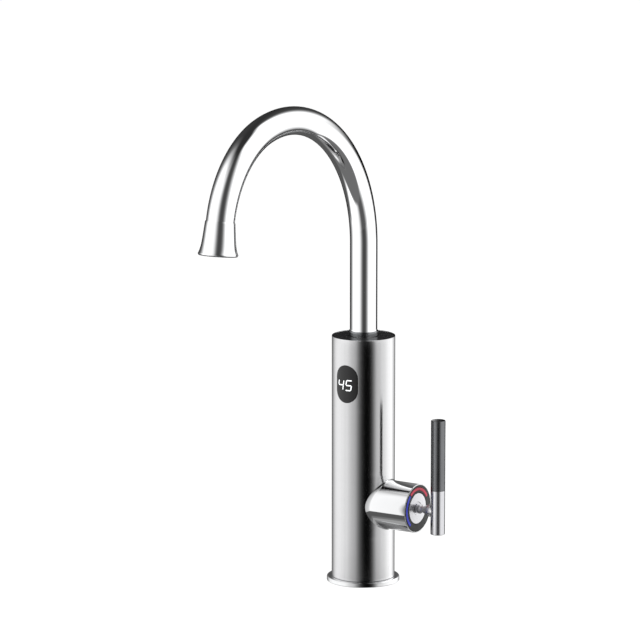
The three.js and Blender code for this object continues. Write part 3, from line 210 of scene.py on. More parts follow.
# %% The brightness curves
STUDIO_CENTRE = (-0.03, -0.14, 0)
DRUM_RADIUS = 3.0
DRUM_BOTTOM = -0.95
DRUM_TOP = 17.0
# degrees from the camera, positive to its right, and brightness
AROUND = [
    (-180, 0.03), (-145, 0.05), (-133, 0.13), (-124, 0.26), (-115, 0.62), (-107, 0.92),
    (-98, 1.26), (-84, 1.75), (-62, 1.75), (-52, 1.40), (-44, 1.20), (-33, 1.04), (-25, 0.78),
    (-20.5, 0.53), (-15.5, 0.34), (-10.5, 0.185), (-5.5, 0.10), (0.5, 0.067), (9.5, 0.064),
    (17.5, 0.09), (22.5, 0.165), (27.5, 0.30), (32.5, 0.52), (37.5, 0.77), (44, 1.10), (51, 1.40),
    (128, 1.40), (136, 1.10), (142, 0.55), (148, 0.20), (156, 0.06), (180, 0.03),
]


def turn_at(degrees):
    """Degrees from the camera as a share of a turn: 0.5 towards the camera, more to its right."""
    return degrees / 360 + 0.5


def azimuth_curve(tree, turn, stops):
    """Brightness by azimuth: a colour ramp over one turn, whose two ends are the same."""
    ramp = add_node(tree, "ValToRGB", (turn,))
    elements = ramp.color_ramp.elements
    places = [turn_at(degrees) for degrees, _ in stops]
    elements[0].position, elements[1].position = places[0], places[-1]
    for place in places[1:-1]:
        elements.new(place)
    for element, (_, value) in zip(elements, stops):
        element.color = (value, value, value, 1)
    return ramp


def turn_from_camera(tree, axes):
    """Where a point lies round the studio, as a share of a turn."""
    angle = add_node(tree, "Math", (axes["Y"], axes["X"]), operation="ARCTAN2")
    angle = add_node(tree, "Math", (angle, math.pi / 2 - CAMERA_TURN), operation="ADD")
    angle = add_node(tree, "Math", (angle, math.pi, -math.pi), operation="WRAP")
    return add_node(tree, "Math", (angle, 1 / (2 * math.pi), 0.5), operation="MULTIPLY_ADD")


# makes a Map Range node 0 below its first end, 1 above its second and smooth between
SMOOTH = {"interpolation_type": "SMOOTHSTEP"}


# %% The drum and the dim cone
# the dark room's glow, and the height from which the boxes' upper edges are measured
DARK_ROOM = 0.03
TAP_HEIGHT = 0.35
# where the boxes begin to show and where they are full, in degrees up from there
LEFT_BOX_TOP, RIGHT_BOX_TOP = (78, 38), (79, 64)
# from the left box's upper edge to the right one's, as shares of a turn
BETWEEN_BOXES = (0.48, 0.55)
# below these heights the boxes end sooner at the back, in degrees from the camera
LOW_PART = (1.2, 0.3)
RIGHT_BOX_BACK, LEFT_BOX_BACK = (137, 112), (-126, -94)
# the worktop's glow far off, further in and close to the body, and where one gives way to the next
FAR_GLOW, NEAR_GLOW, CLOSE_GLOW = 0.10, 0.165, 0.36
CLOSE_REACH = (0.12, 0.07)
NEAR_MIDDLE, NEAR_REACH = (0.09, -0.10), (0.34, 0.46)


def box_back(tree, turn, ends):
    """0 behind a box's end at the back, and 1 where the box is full."""
    return add_node(tree, "MapRange", (turn, *map(turn_at, ends)), **SMOOTH)


def box_top(tree, rise, ends):
    """0 over a box's upper edge, and 1 where the box is full."""
    return add_node(tree, "MapRange", (rise, *map(math.radians, ends)), **SMOOTH)


def glow_by(made, tree, light):
    """Ends a material as plain light, which no lamp sampling needs to know of."""
    glow = add_node(tree, "Emission", {"Color": light, "Strength": 1.0})
    add_node(tree, "OutputMaterial", {"Surface": glow})
    made.cycles.emission_sampling = "NONE"
    return made


def drum_material():
    made, tree, place = start_material("studio_soft_boxes")
    axes = add_node(tree, "SeparateXYZ", (place,)).outputs
    height = axes["Z"]
    turn = turn_from_camera(tree, axes)
    right_side = add_node(tree, "MapRange", (turn, *BETWEEN_BOXES), **SMOOTH)
    over = add_node(tree, "Math", (height, TAP_HEIGHT), operation="SUBTRACT")
    rise = add_node(tree, "Math", (over, DRUM_RADIUS), operation="ARCTAN2")
    tops = (box_top(tree, rise, LEFT_BOX_TOP), box_top(tree, rise, RIGHT_BOX_TOP))
    under_top = add_node(tree, "Mix", (right_side, *tops))
    low = add_node(tree, "MapRange", (height, *LOW_PART), **SMOOTH)
    kept = add_node(tree, "Mix", (low, 1.0, box_back(tree, turn, RIGHT_BOX_BACK)))
    curve = azimuth_curve(tree, turn, AROUND)
    boxes = add_node(tree, "Math", (curve, kept), operation="MULTIPLY")
    return glow_by(made, tree, add_node(tree, "Mix", (under_top, DARK_ROOM, boxes)))


def reach_from(tree, place, x=0.0, y=0.0):
    """How far a point lies from the upright line through x and y, near the ground."""
    away = add_node(tree, "VectorMath", (place, (-x, -y, 0)))
    return add_node(tree, "VectorMath", (away,), operation="LENGTH")


def cone_material():
    made, tree, place = start_material("studio_dim_table")
    axes = add_node(tree, "SeparateXYZ", (place,)).outputs
    turn = turn_from_camera(tree, axes)
    backs = (box_back(tree, turn, LEFT_BOX_BACK), box_back(tree, turn, RIGHT_BOX_BACK))
    kept = add_node(tree, "Math", backs, operation="MULTIPLY")
    curve = azimuth_curve(tree, turn, AROUND)
    boxes = add_node(tree, "Math", (curve, kept), operation="MULTIPLY")
    boxes = add_node(tree, "Math", (boxes, FAR_GLOW), operation="MAXIMUM")
    close = add_node(tree, "MapRange", (reach_from(tree, place), *CLOSE_REACH), **SMOOTH)
    under = add_node(tree, "Mix", (close, NEAR_GLOW, CLOSE_GLOW))
    reach = reach_from(tree, place, *NEAR_MIDDLE)
    far = add_node(tree, "MapRange", (reach, *NEAR_REACH), **SMOOTH)
    return glow_by(made, tree, add_node(tree, "Mix", (far, under, boxes)))


def studio_piece(name, rings, material, close_ends=(), centre=(0, 0, 0), count=96):
    """Circles of points at (radius, height) rings, joined by quads. Only reflections see it."""
    turns = np.linspace(0, 2 * np.pi, count, endpoint=False)
    circle = np.stack([np.cos(turns), np.sin(turns)], -1)
    points = np.concatenate([np.column_stack([circle * r, np.full(count, z)]) for r, z in rings])
    index = np.arange(len(points)).reshape(len(rings), count)
    around = np.roll(index, -1, axis=1)
    faces = np.stack([index[:-1], around[:-1], around[1:], index[1:]], -1).reshape(-1, 4).tolist()
    faces += [index[k].tolist() for k in close_ends]
    mesh = bpy.data.meshes.new(name)
    mesh.from_pydata(points.tolist(), [], faces)
    mesh.materials.append(material)
    made = bpy.data.objects.new(name, mesh)
    bpy.context.scene.collection.objects.link(made)
    made.location = centre
    for ray in ("camera", "diffuse", "transmission", "volume_scatter", "shadow"):
        setattr(made, "visible_" + ray, False)
    return made


CONE_SLOPE = 0.3
CONE_RINGS = (0.02, 0.3, 0.6, 1.2, DRUM_RADIUS)
studio_piece("studio_drum", [(DRUM_RADIUS, DRUM_BOTTOM), (DRUM_RADIUS, DRUM_TOP)],
             drum_material(), close_ends=(1,), centre=STUDIO_CENTRE)
studio_piece("studio_cone", [(r, -CONE_SLOPE * r) for r in CONE_RINGS],
             cone_material(), close_ends=(0,))
print("drum and cone with", len(AROUND), "points on their curve")

# %% [markdown]
# ### The net and the cards
# The satin body is much darker to the right of its middle than the spout is. A photographer gets
# that with a net: a piece of dark gauze on a frame, which dims a soft box without hiding it. This
# one is curved round the body, thick beside the camera's line and thinner towards the right. White
# cards behind the body, on the same ring, keep its two flanks bright right up to the edge, where
# the spout has a dark line. The ring is 60 mm from the axis, so that the pin of the lever stands
# outside it, and it ends where the body ends, so that the spout looks over it.

# %% The graduated net and the cards
NET_RADIUS = 0.06
NET_BOTTOM, NET_TOP = -0.015, 0.2
NET_HEM = 0.001
# degrees from the camera, and the share of the light that comes through
THROUGH_NET = [
    (-180, 1), (-87, 0.96), (-76, 0.82), (-67, 0.68), (-58, 0.61), (-46, 0.60), (-38, 0.62),
    (-28, 0.60), (-13.6, 0.58), (-7.7, 0.58), (-3.4, 0.42), (0, 0.23), (3.4, 0.09), (7.7, 0.04),
    (12.8, 0.04), (17, 0.06), (20.5, 0.10), (24, 0.165), (27.3, 0.25), (31, 0.34), (35, 0.43),
    (39.4, 0.50), (44.6, 0.55), (50, 0.60), (53.3, 0.66), (60, 0.71), (68, 0.78), (76, 0.90),
    (84, 1), (180, 1),
]
# degrees from the camera, and the light that the white cards behind the body add
CARDS = [
    (-180, 0.05), (-154, 0.07), (-137, 0.13), (-125, 0.24), (-120.6, 0.36), (-109.6, 0.66),
    (-101.5, 0.84), (-93.6, 0.66), (-85, 0.36), (-79.6, 0.20), (-70, 0), (91, 0), (96.2, 0.45),
    (105, 1.0), (113.3, 1.0), (122.5, 0.58), (132.9, 0.24), (154, 0.07), (180, 0.05),
]


def net_material():
    made, tree, place = start_material("studio_gauze_net")
    axes = add_node(tree, "SeparateXYZ", (place,)).outputs
    turn = turn_from_camera(tree, axes)
    hem = (NET_TOP - NET_HEM, NET_TOP + NET_HEM)
    over = add_node(tree, "MapRange", (axes["Z"], *hem), **SMOOTH)
    through = add_node(tree, "Mix", (over, azimuth_curve(tree, turn, THROUGH_NET), 1.0))
    light = add_node(tree, "Mix", (over, azimuth_curve(tree, turn, CARDS), 0.0))
    card = add_node(tree, "Emission", {"Color": light, "Strength": 1.0})
    gauze = add_node(tree, "BsdfTransparent", {"Color": through})
    both = add_node(tree, "AddShader", (card, gauze))
    add_node(tree, "OutputMaterial", {"Surface": both})
    made.cycles.emission_sampling = "NONE"
    return made


studio_piece("studio_net", [(NET_RADIUS, NET_BOTTOM), (NET_RADIUS, NET_TOP + 2 * NET_HEM)],
             net_material())
print(f"net and cards {NET_RADIUS / MM:.0f} mm from the axis")

# %% [markdown]
# ### Floor, world and lamps
# The floor and the world are white to the camera, so the tap stands on an even white ground. The
# floor takes only a small share of its white from the lamps, which is what keeps a faint shadow.
# Reflections look through the floor to the cone below it.

# %% Floor, world and lamps
WHITE = (1, 1, 1, 1)
FLOOR_GREY, FLOOR_GLOW = 0.2, 0.9
SOFT_LIGHT = 0.55


def looked_at(tree):
    """1 for a ray from the camera or off a mirror or through glass, and 0 for light."""
    rays = add_node(tree, "LightPath").outputs
    first = (rays["Is Camera Ray"], rays["Is Glossy Ray"])
    seen = add_node(tree, "Math", first, operation="MAXIMUM")
    return add_node(tree, "Math", (seen, rays["Is Transmission Ray"]), operation="MAXIMUM")


def floor_material():
    made, tree, _ = start_material("white_studio_floor")
    lit = add_node(tree, "BsdfDiffuse", {"Color": (*[FLOOR_GREY] * 3, 1)})
    strength = add_node(tree, "Math", (looked_at(tree), FLOOR_GLOW), operation="MULTIPLY")
    glow = add_node(tree, "Emission", {"Color": WHITE, "Strength": strength})
    both = add_node(tree, "AddShader", (lit, glow))
    add_node(tree, "OutputMaterial", {"Surface": both})
    return made


FLOOR_REACH = 20
FLOOR_LEVEL = -0.0002
floor_mesh = bpy.data.meshes.new("floor")
corners = [(x * FLOOR_REACH, y * FLOOR_REACH, FLOOR_LEVEL)
           for x, y in ((-1, -1), (1, -1), (1, 1), (-1, 1))]
floor_mesh.from_pydata(corners, [], [(0, 1, 2, 3)])
floor_mesh.materials.append(floor_material())
floor = bpy.data.objects.new("floor", floor_mesh)
bpy.context.scene.collection.objects.link(floor)
floor.visible_glossy = False

world = bpy.data.worlds.new("studio")
bpy.context.scene.world = world
world.use_nodes = True
tree = world.node_tree
tree.nodes.clear()
soft = add_node(tree, "Background", {"Color": WHITE, "Strength": SOFT_LIGHT})
white = add_node(tree, "Background", {"Color": WHITE, "Strength": 1.0})
either = add_node(tree, "MixShader", (looked_at(tree), soft, white))
add_node(tree, "OutputWorld", {"Surface": either})


LAMPS_FACE = Vector((0, 0, 0.2))


def lamp(name, place, size, power):
    """A square area lamp that faces the middle of the tap. Reflections see the drum instead."""
    data = bpy.data.lights.new(name, "AREA")
    data.size = size
    data.energy = power
    made = bpy.data.objects.new(name, data)
    bpy.context.scene.collection.objects.link(made)
    made.location = place
    made.rotation_euler = (place - LAMPS_FACE).to_track_quat("Z", "Y").to_euler()
    made.visible_glossy = False
    made.visible_camera = False


lamp("right_lamp", to_right * 1.3 + to_camera * 1.0 + Vector((0, 0, 0.9)), 1.0, 14)
lamp("left_lamp", to_right * -1.4 + to_camera * 0.8 + Vector((0, 0, 0.7)), 1.0, 11)
lamp("top_lamp", Vector((0.1, 0.2, 1.8)), 1.2, 10)
print("floor, world and 3 lamps")


# %% [markdown]
# ## From a grid of points to a mesh
# Every new piece is a surface of two parameters, u and v, sampled on a grid. Where the surface
# closes on itself, the last row is joined to the first. Where a row shrinks to a point on an axis,
# its doubles are merged, which closes the pole. The normals are then turned outwards.
#
# A modifier such as Screw could turn a profile too, but a grid keeps the formula in one place and
# gives the same vertices each run.

# %% Make a mesh object from a grid
DOUBLES, SLIVERS = 1e-6, 1e-8


def grid_faces(rows, columns, close_rows=True, close_columns=True):
    """Quads between neighbours of a grid of vertices that is numbered row by row."""
    index = np.arange(rows * columns).reshape(rows, columns)
    if close_rows:
        index = np.concatenate([index, index[:1]])
    if close_columns:
        index = np.concatenate([index, index[:, :1]], axis=1)
    corners = index[:-1, :-1], index[1:, :-1], index[1:, 1:], index[:-1, 1:]
    return np.stack(corners, -1).reshape(-1, 4)


def build(name, points, faces, finish, body, replaces=(), smooth_angle=40):
    """A mesh object in metres: doubles merged, faces out, riding on a body of the CAD model."""
    mesh = bpy.data.meshes.new(name)
    mesh.from_pydata((np.asarray(points) * MM).tolist(), [], np.asarray(faces).tolist())
    work = bmesh.new()
    work.from_mesh(mesh)
    bmesh.ops.remove_doubles(work, verts=work.verts, dist=DOUBLES)
    bmesh.ops.dissolve_degenerate(work, edges=work.edges, dist=SLIVERS)
    bmesh.ops.recalc_face_normals(work, faces=work.faces)
    if work.calc_volume(signed=True) < 0:
        bmesh.ops.reverse_faces(work, faces=work.faces)
    work.to_mesh(mesh)
    work.free()
    mesh.shade_smooth()
    mesh.set_sharp_from_angle(angle=math.radians(smooth_angle))
    piece = bpy.data.objects.new(name, mesh)
    bpy.context.scene.collection.objects.link(piece)
    mesh.materials.append(finish)
    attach(piece, body)
    if replaces:
        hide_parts(*replaces)
    print(f"{name}: {len(mesh.polygons)} faces")
    return piece


def build_grid(name, grid, finish, body, nodes, close_rows=True, smooth_angle=40):
    """A piece from a grid of points that closes along its columns."""
    faces = grid_faces(*grid.shape[:2], close_rows=close_rows)
    return build(name, grid.reshape(-1, 3), faces, finish, body, nodes, smooth_angle)


# %% [markdown]
# ### Turned outlines
# Most of a tap is turned on a lathe. A closed outline of radius and height is carried round the
# axis. No real edge is perfectly sharp, and on polished metal the thin light line along a rounded
# edge is what makes it look solid, so every corner of an outline gets a small arc. A point just
# before and just after the arc keeps the flat faces flat in the shading.

# %% Round the corners of an outline and turn it
NEARLY_STRAIGHT = math.radians(86)
MOST_OF_A_SIDE = 0.45
SUPPORT, SUPPORT_SIDE = 0.04, 1.5


def rounded(outline, radius, steps=5):
    """The outline with each corner replaced by an arc. An arc of radius r in a corner of angle A
    starts and ends r / tan(A / 2) from the corner, and its centre is r / sin(A / 2) from it along
    the bisector. A third number on a point is its own radius, and 0 keeps the corner sharp."""
    points = [np.array(p[:2], float) for p in outline]
    radii = [p[2] if len(p) > 2 else radius for p in outline]
    result = []
    for k, point in enumerate(points):
        back, ahead = points[k - 1] - point, points[(k + 1) % len(points)] - point
        shortest = min(np.linalg.norm(back), np.linalg.norm(ahead))
        back, ahead = back / np.linalg.norm(back), ahead / np.linalg.norm(ahead)
        half = math.acos(np.clip(back @ ahead, -1, 1)) / 2
        if radii[k] == 0 or half > NEARLY_STRAIGHT:
            result.append(point)
            continue
        reach = min(radii[k] / math.tan(half), MOST_OF_A_SIDE * shortest)
        support = SUPPORT * min(shortest, SUPPORT_SIDE)
        inwards = (back + ahead) / np.linalg.norm(back + ahead)
        centre = point + inwards * reach / math.cos(half)
        first, last = point + back * reach - centre, point + ahead * reach - centre
        angles = np.linspace(0, 1, steps)[:, None] * (math.pi - 2 * half)
        sweep = math.sin(math.pi - 2 * half)
        arc = (first * np.sin(angles[::-1]) + last * np.sin(angles)) / sweep
        result.append(point + back * (reach + support))
        result.extend(centre + arc)
        result.append(point + ahead * (reach + support))
    return np.array(result)


def turned_points(outline, segments=128):
    """A closed outline of [radius, height] carried round +Z: x = r cos u, y = r sin u, z = h."""
    u = np.linspace(0, 2 * np.pi, segments, endpoint=False)[:, None]
    r, h = outline[None, :, 0], outline[None, :, 1]
    return np.stack([r * np.cos(u), r * np.sin(u), h + 0 * u], -1)


def turn(name, outline, finish, body, replaces=(), edge=0.3, segments=128, place=None):
    """A turned piece. place moves its points, as an array, from the lathe to where they belong."""
    points = turned_points(rounded(outline, edge), segments)
    return build_grid(name, place(points) if place else points, finish, body, replaces)


def lying_on_x(points):
    """From a lathe along +Z to the valve's axis along +X: the old height is the new x."""
    return np.stack([points[..., 2], points[..., 1], VALVE_HEIGHT - points[..., 0]], -1)


# %% [markdown]
# ## Chrome plate
# The spout, the bell, the side boss and the flange are brass under a bright chrome plate. Chrome
# is a mirror with a faint cool tint. Its shape shows only through what it reflects. A real plate
# is not perfect: wiping leaves it a touch less sharp in patches of about 20 mm, and polishing
# leaves a waviness of about 8 mm, far too shallow to feel. The lever's lower sleeve has a satin
# plate, and its stem was blasted with glass beads before plating, so it shines softly and pale.

# %% Bright and satin chrome
def chrome_plate():
    made, tree, place = start_material("polished_chrome_plate")
    wiped = pattern(tree, place, (20, 20, 20), 4)
    wavy = pattern(tree, place, (8, 8, 8), 1)
    return end_surface(made, tree, {"Metallic": 1.0}, (wiped, "#F0F1F2", "#F6F6F7"),
                       rough=(wiped, 0.035, 0.06), relief=(wavy, 0.002))


def satin_chrome(name, colours, roughness):
    made, tree, place = start_material(name)
    wiped = pattern(tree, place, (12, 12, 12), 4)
    return end_surface(
        made, tree, {"Metallic": 1.0}, (wiped, *colours), rough=(wiped, *roughness))


chrome = chrome_plate()
satin_plate = satin_chrome("satin_chrome_plate", ("#C0C0C3", "#C8C8CB"), (0.17, 0.21))
stem_plate = satin_chrome("blasted_chrome_plate", ("#F0F0F3", "#F8F8FA"), (0.30, 0.36))
print("made", ", ".join(finish.name for finish in (chrome, satin_plate, stem_plate)))

# %% [markdown]
# ## Steels and the dark collar
# The body is a stainless tube that was turned against an abrasive belt, which leaves fine lines
# round it. Such lines hardly blur a reflection along themselves but smear it across them, so the
# tall soft boxes stay apart from side to side and run into each other up and down. That is
# anisotropy, with its long direction up the tube. The real lines are about 0.05 mm apart, and are
# drawn 0.3 mm apart here, because finer ones would not show in a picture of this size.
#
# The disc on the face of the boss was spun, so its lines are circles round the valve's axis. The
# grip is steel with a hard satin grey coating, and shows the soft boxes as two broad dull bands.
# Turned metal has tool marks: noise that is short along the lathe's axis draws them. The collar
# under the spout is such a piece, under a dark nickel plate that nearly levels them.

# %% Steels and the collar's plate
BELT_LINE, SPUN_LINE = 0.3, 0.25


def belt_brushed_steel():
    made, tree, place = start_material("belt_brushed_stainless_steel")
    lines = pattern(tree, place, (18, 18, BELT_LINE), 3)
    patches = pattern(tree, place, (30, 30, 30), 2)
    up = add_node(tree, "Tangent", direction_type="UV_MAP", uv_map="up_and_round")
    inputs = {"Metallic": 1.0, "Anisotropic": 0.75, "Tangent": up}
    return end_surface(made, tree, inputs, (lines, "#D2D2D3", "#DADADB"),
                       rough=(patches, 0.15, 0.19), relief=(lines, 0.0012))


def spun_steel():
    made, tree, place = start_material("spun_stainless_steel")
    centred = add_node(tree, "Mapping", {"Vector": place, "Location": (0, 0, -VALVE_HEIGHT * MM)})
    axes = add_node(tree, "SeparateXYZ", (centred,)).outputs
    squares = [add_node(tree, "Math", (axes[axis], 2.0), operation="POWER") for axis in "YZ"]
    total = add_node(tree, "Math", squares, operation="ADD")
    reach = add_node(tree, "Math", (total,), operation="SQRT")
    lines = add_node(tree, "Math", (reach, 1 / (SPUN_LINE * MM)), operation="MULTIPLY")
    ring = add_node(
        tree, "TexNoise", {"W": lines, "Scale": 1.0, "Detail": 2.0}, noise_dimensions="1D")
    inputs = {"Metallic": 1.0, "Roughness": 0.22}
    return end_surface(made, tree, inputs, (ring, "#E0E0E4", "#F2F2F4"), relief=(ring, 0.02))


def satin_coated_steel():
    made, tree, place = start_material("satin_grey_coated_steel")
    grain = pattern(tree, place, (0.4, 0.4, 0.4), 2)
    worn = pattern(tree, place, (14, 14, 14), 3)
    return end_surface(made, tree, {"Metallic": 1.0}, (worn, "#68696B", "#727375"),
                       rough=(worn, 0.25, 0.29), relief=(grain, 0.0004))


def worked_metal(name, colours, roughness, lines, depth=0.004):
    """A metal with tool marks: lines gives their size in millimetres along x, y and z."""
    made, tree, place = start_material(name)
    marks = pattern(tree, place, lines, 3)
    stained = pattern(tree, place, (12, 12, 12), 3)
    return end_surface(made, tree, {"Metallic": 1.0}, (stained, *colours),
                       rough=(marks, *roughness), relief=(marks, depth))


body_steel = belt_brushed_steel()
disc_steel = spun_steel()
grip_steel = satin_coated_steel()
collar_nickel = worked_metal(
    "black_nickel_plate", ("#7E8082", "#888A8C"), (0.12, 0.18), lines=(6, 6, 0.4), depth=0.0005)
print("made", ", ".join(m.name for m in (body_steel, disc_steel, grip_steel, collar_nickel)))

# %% [markdown]
# ## Plastics, light guides and the rest
# The cap and the display are gloss black plastic, moulded in polished tools. The ring on the face
# of the boss is a satin black moulding, and the aerator's carrier a dark grey one. Each has the
# faint unevenness of a moulding, a few millimetres across. The two arcs and the figures are clear
# plastic over small lights, so they glow a little.

# %% Moulded plastics and light guides
ACRYLIC_IOR = 1.49


def moulded(name, colours, roughness, blotch=6, depth=0.003, grain=0.5, ior=1.5):
    """A moulding: two close colours in blotches, and a grain whose size and depth are in mm."""
    made, tree, place = start_material(name)
    uneven = pattern(tree, place, (blotch,) * 3, 2)
    fine = pattern(tree, place, (grain,) * 3, 2)
    return end_surface(made, tree, {"IOR": ior}, (uneven, *colours),
                       rough=(uneven, *roughness), relief=(fine, depth))


def light_guide(name, colours, glow, strength):
    """Clear coloured plastic with a light behind it, brighter where the light lies nearer."""
    made, tree, place = start_material(name)
    uneven = pattern(tree, place, (4, 4, 4), 2)
    light = (0.85 * strength, 1.15 * strength)
    return end_surface(made, tree, {
        "Roughness": 0.25,
        "IOR": ACRYLIC_IOR,
        "Emission Color": linear(glow),
        "Emission Strength": add_node(tree, "MapRange", (uneven, *NOISE_SPAN, *light)),
    }, (uneven, *colours))


cap_black = moulded("gloss_black_abs", ("#262627", "#2E2E2F"), (0.10, 0.16), depth=0.001)
window_black = moulded(
    "gloss_black_acrylic", ("#121213", "#161617"), (0.16, 0.22), depth=0.0005, ior=ACRYLIC_IOR)
ring_black = moulded("satin_black_abs", ("#363736", "#3E3F3E"), (0.38, 0.46))
carrier_grey = moulded("satin_dark_grey_acetal", ("#5A5B5D", "#646567"), (0.32, 0.40))
white_plastic = moulded("moulded_white_acetal", ("#E2E0DA", "#ECEAE4"), (0.40, 0.50))
grey_plastic = moulded("moulded_grey_acetal", ("#828486", "#8E9092"), (0.45, 0.55))
rubber = moulded(
    "moulded_black_rubber", ("#1C1C1C", "#242424"), (0.70, 0.85), depth=0.01, grain=0.3)
hot_guide = light_guide("lit_red_acrylic", ("#B02C42", "#BE3A50"), "#C8384E", 0.35)
cold_guide = light_guide("lit_blue_acrylic", ("#2C34A0", "#3842AE"), "#3038B8", 0.35)
figure_light = light_guide("lit_white_segments", ("#E8EAEB", "#F4F6F6"), "#F4F8FA", 0.9)
print("cap and window in", cap_black.name, "and", window_black.name)


# %% [markdown]
# ## Materials for the pieces inside
# Nobody sees these from outside, but the model can be opened. Brass is turned, so it has fine
# lines round each piece's axis, drawn here as noise that is short along the axis. The tank is deep
# drawn stainless, its lines up and down. Fired alumina is plain and pale, and a circuit board is
# green varnish over a faint weave of glass cloth, about 0.5 mm from thread to thread.

# %% Metals, ceramic and boards inside the tap
CLOTH_THREAD = 0.5
# where in the noise a copper track under the varnish begins and where it is full
TRACK_EDGE = (0.48, 0.52)


def circuit_board():
    made, tree, place = start_material("green_varnished_glass_epoxy")
    weave = add_node(tree, "TexVoronoi", {
        "Vector": place, "Scale": 1 / (CLOTH_THREAD * MM),
    }, distance="CHEBYCHEV")
    tracks = pattern(tree, place, (2.5, 2.5, 2.5), 0)
    covered = add_node(tree, "MapRange", (tracks, *TRACK_EDGE, 0, 1))
    return end_surface(made, tree, {"Roughness": 0.35}, (covered, "#184A30", "#21603E"),
                       relief=(weave, 0.01))


turned_brass = worked_metal("turned_brass", ("#BE9C54", "#CCAE66"), (0.24, 0.36), (6, 6, 0.3))
axle_brass = worked_metal("bar_turned_brass", ("#BE9C54", "#CCAE66"), (0.24, 0.36), (0.3, 6, 6))
drawn_steel = worked_metal(
    "deep_drawn_stainless_steel", ("#AEB0B2", "#BEC0C2"), (0.28, 0.40), (1, 1, 20))
machined_steel = worked_metal(
    "machined_stainless_steel", ("#B4B6B8", "#C2C4C6"), (0.25, 0.35), (0.3, 5, 5))
element_steel = worked_metal(
    "annealed_nickel_alloy", ("#8E8A84", "#A09C96"), (0.40, 0.55), (1.5, 1.5, 1.5))
alumina = moulded(
    "lapped_alumina_ceramic", ("#EDEAE2", "#F5F2EA"), (0.15, 0.22), depth=0.0005, ior=1.76)
board_green = circuit_board()

INSIDE = {
    turned_brass: ("base_manifold", "spout_socket", "swivel_ring_nut", "temperature_probe"),
    axle_brass: ("valve_housing", "cartridge_nut"),
    drawn_steel: ("heater_tank", "tank_lid", "hot_riser_pipe", "tank_feed_pipe", "bypass_pipe",
                  "lever_core", "flow_sensor_axle"),
    machined_steel: ("cartridge_spindle", "lever_set_screw"),
    element_steel: ("heating_element",),
    alumina: ("fixed_ceramic_disc", "moving_ceramic_disc"),
    board_green: ("display_board", "power_board", "indicator_board"),
    white_plastic: ("swivel_bush", "cartridge_body", "terminal_block", "flow_sensor_housing"),
    grey_plastic: ("thermal_cutout", "aerator_grille"),
    cap_black: ("heater_relay", "flow_sensor_rotor"),
    rubber: ("worktop_gasket", "cable_gland", "lower_spout_o_ring", "upper_spout_o_ring",
             "aerator_washer", "display_seal", "tank_seal", "cartridge_seal", "spindle_o_ring"),
    figure_light: ("display_digit_tens", "display_digit_units"),
}


def finish_node(node, finish):
    """Gives a CAD node's every face one finish."""
    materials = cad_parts[node].data.materials
    materials.clear()
    materials.append(finish)


for finish, nodes in INSIDE.items():
    for node in nodes:
        finish_node(node, finish)
print(sum(len(nodes) for nodes in INSIDE.values()), "CAD nodes keep their shape")


# %% [markdown]
# ## The body's shell
# The shell is a tube with two openings: a round-ended slot for the display in front, and a circle
# for the boss at the side. A Boolean cut would do it, but leaves long thin triangles that show as
# smears in a satin finish. Here each opening has a patch of its own, whose rings run from the
# opening's outline to a rectangle, and plain grids with the same spacing fill what is left. Points
# are placed as angle and height, and rolled up at the end. Solidify then gives the wall, and Bevel
# the fine light edge that shows round the cap.

# %% Lay out the shell as angle and height
COLUMNS = 180
COLUMN = 2 * math.pi / COLUMNS
FRONT, SIDE = -math.pi / 2, 0.0
RING_COUNT, RING_CROWDING = 9, 1.6


def rectangle_edge(low, high, columns, rows):
    """Points along a rectangle's four sides, in angle and height, once round."""
    a, h = np.linspace(low[0], high[0], columns + 1), np.linspace(low[1], high[1], rows + 1)
    sides = [
        np.column_stack([a[:-1], np.full(columns, low[1])]),
        np.column_stack([np.full(rows, high[0]), h[:-1]]),
        np.column_stack([a[:0:-1], np.full(columns, high[1])]),
        np.column_stack([np.full(rows, low[0]), h[:0:-1]]),
    ]
    return np.concatenate(sides)


def patch_round(outline, low, high, columns, rows):
    """Rings from an opening's outline to a rectangle. Each point on the rectangle is joined to the
    point of the outline in the same direction from the opening's middle, and the rings lie
    between them at t to the power of 1.6, closer together near the opening."""
    edge = rectangle_edge(low, high, columns, rows)
    stretch = np.array([BODY_RADIUS, 1.0])
    middle = (outline.min(0) + outline.max(0)) / 2
    flat, far = (outline - middle) * stretch, (edge - middle) * stretch
    turns = np.unwrap(np.arctan2(flat[:, 1], flat[:, 0]))
    order = np.argsort(turns)
    directions = np.arctan2(far[:, 1], far[:, 0])
    lengths = np.linalg.norm(flat, axis=1)
    reach = np.interp(directions, turns[order], lengths[order], period=2 * np.pi)
    outwards = np.column_stack([np.cos(directions), np.sin(directions)])
    near = outwards * reach[:, None] / stretch + middle
    t = (np.linspace(0, 1, RING_COUNT) ** RING_CROWDING)[:, None, None]
    points = near[None] * (1 - t) + edge[None] * t
    return points.reshape(-1, 2), grid_faces(RING_COUNT, len(edge), close_rows=False)


def plain_band(low, high, columns, rows):
    """A plain grid of angle and height."""
    across, up = (np.linspace(low[k], high[k], n + 1) for k, n in enumerate((columns, rows)))
    points = np.stack(np.meshgrid(across, up), -1).reshape(-1, 2)
    return points, grid_faces(rows + 1, columns + 1, close_rows=False, close_columns=False)


def band_with_opening(outline, angle, reach, low, high, rows):
    """A band of the tube with one opening: its patch, and a plain grid for the rest."""
    start, end = angle - reach * COLUMN, angle + reach * COLUMN
    return [
        patch_round(outline, (start, low), (end, high), 2 * reach, rows),
        plain_band((end, low), (start + 2 * math.pi, high), COLUMNS - 2 * reach, rows),
    ]


# %% The openings' outlines
window_low, window_high = span("display_window")
WINDOW_HALF = (window_high[0] - window_low[0]) / 2
WINDOW_MIDDLE = (window_low[2] + window_high[2]) / 2
WINDOW_TALL = (window_high[2] - window_low[2]) / 2
JOINT_GAP = 0.06


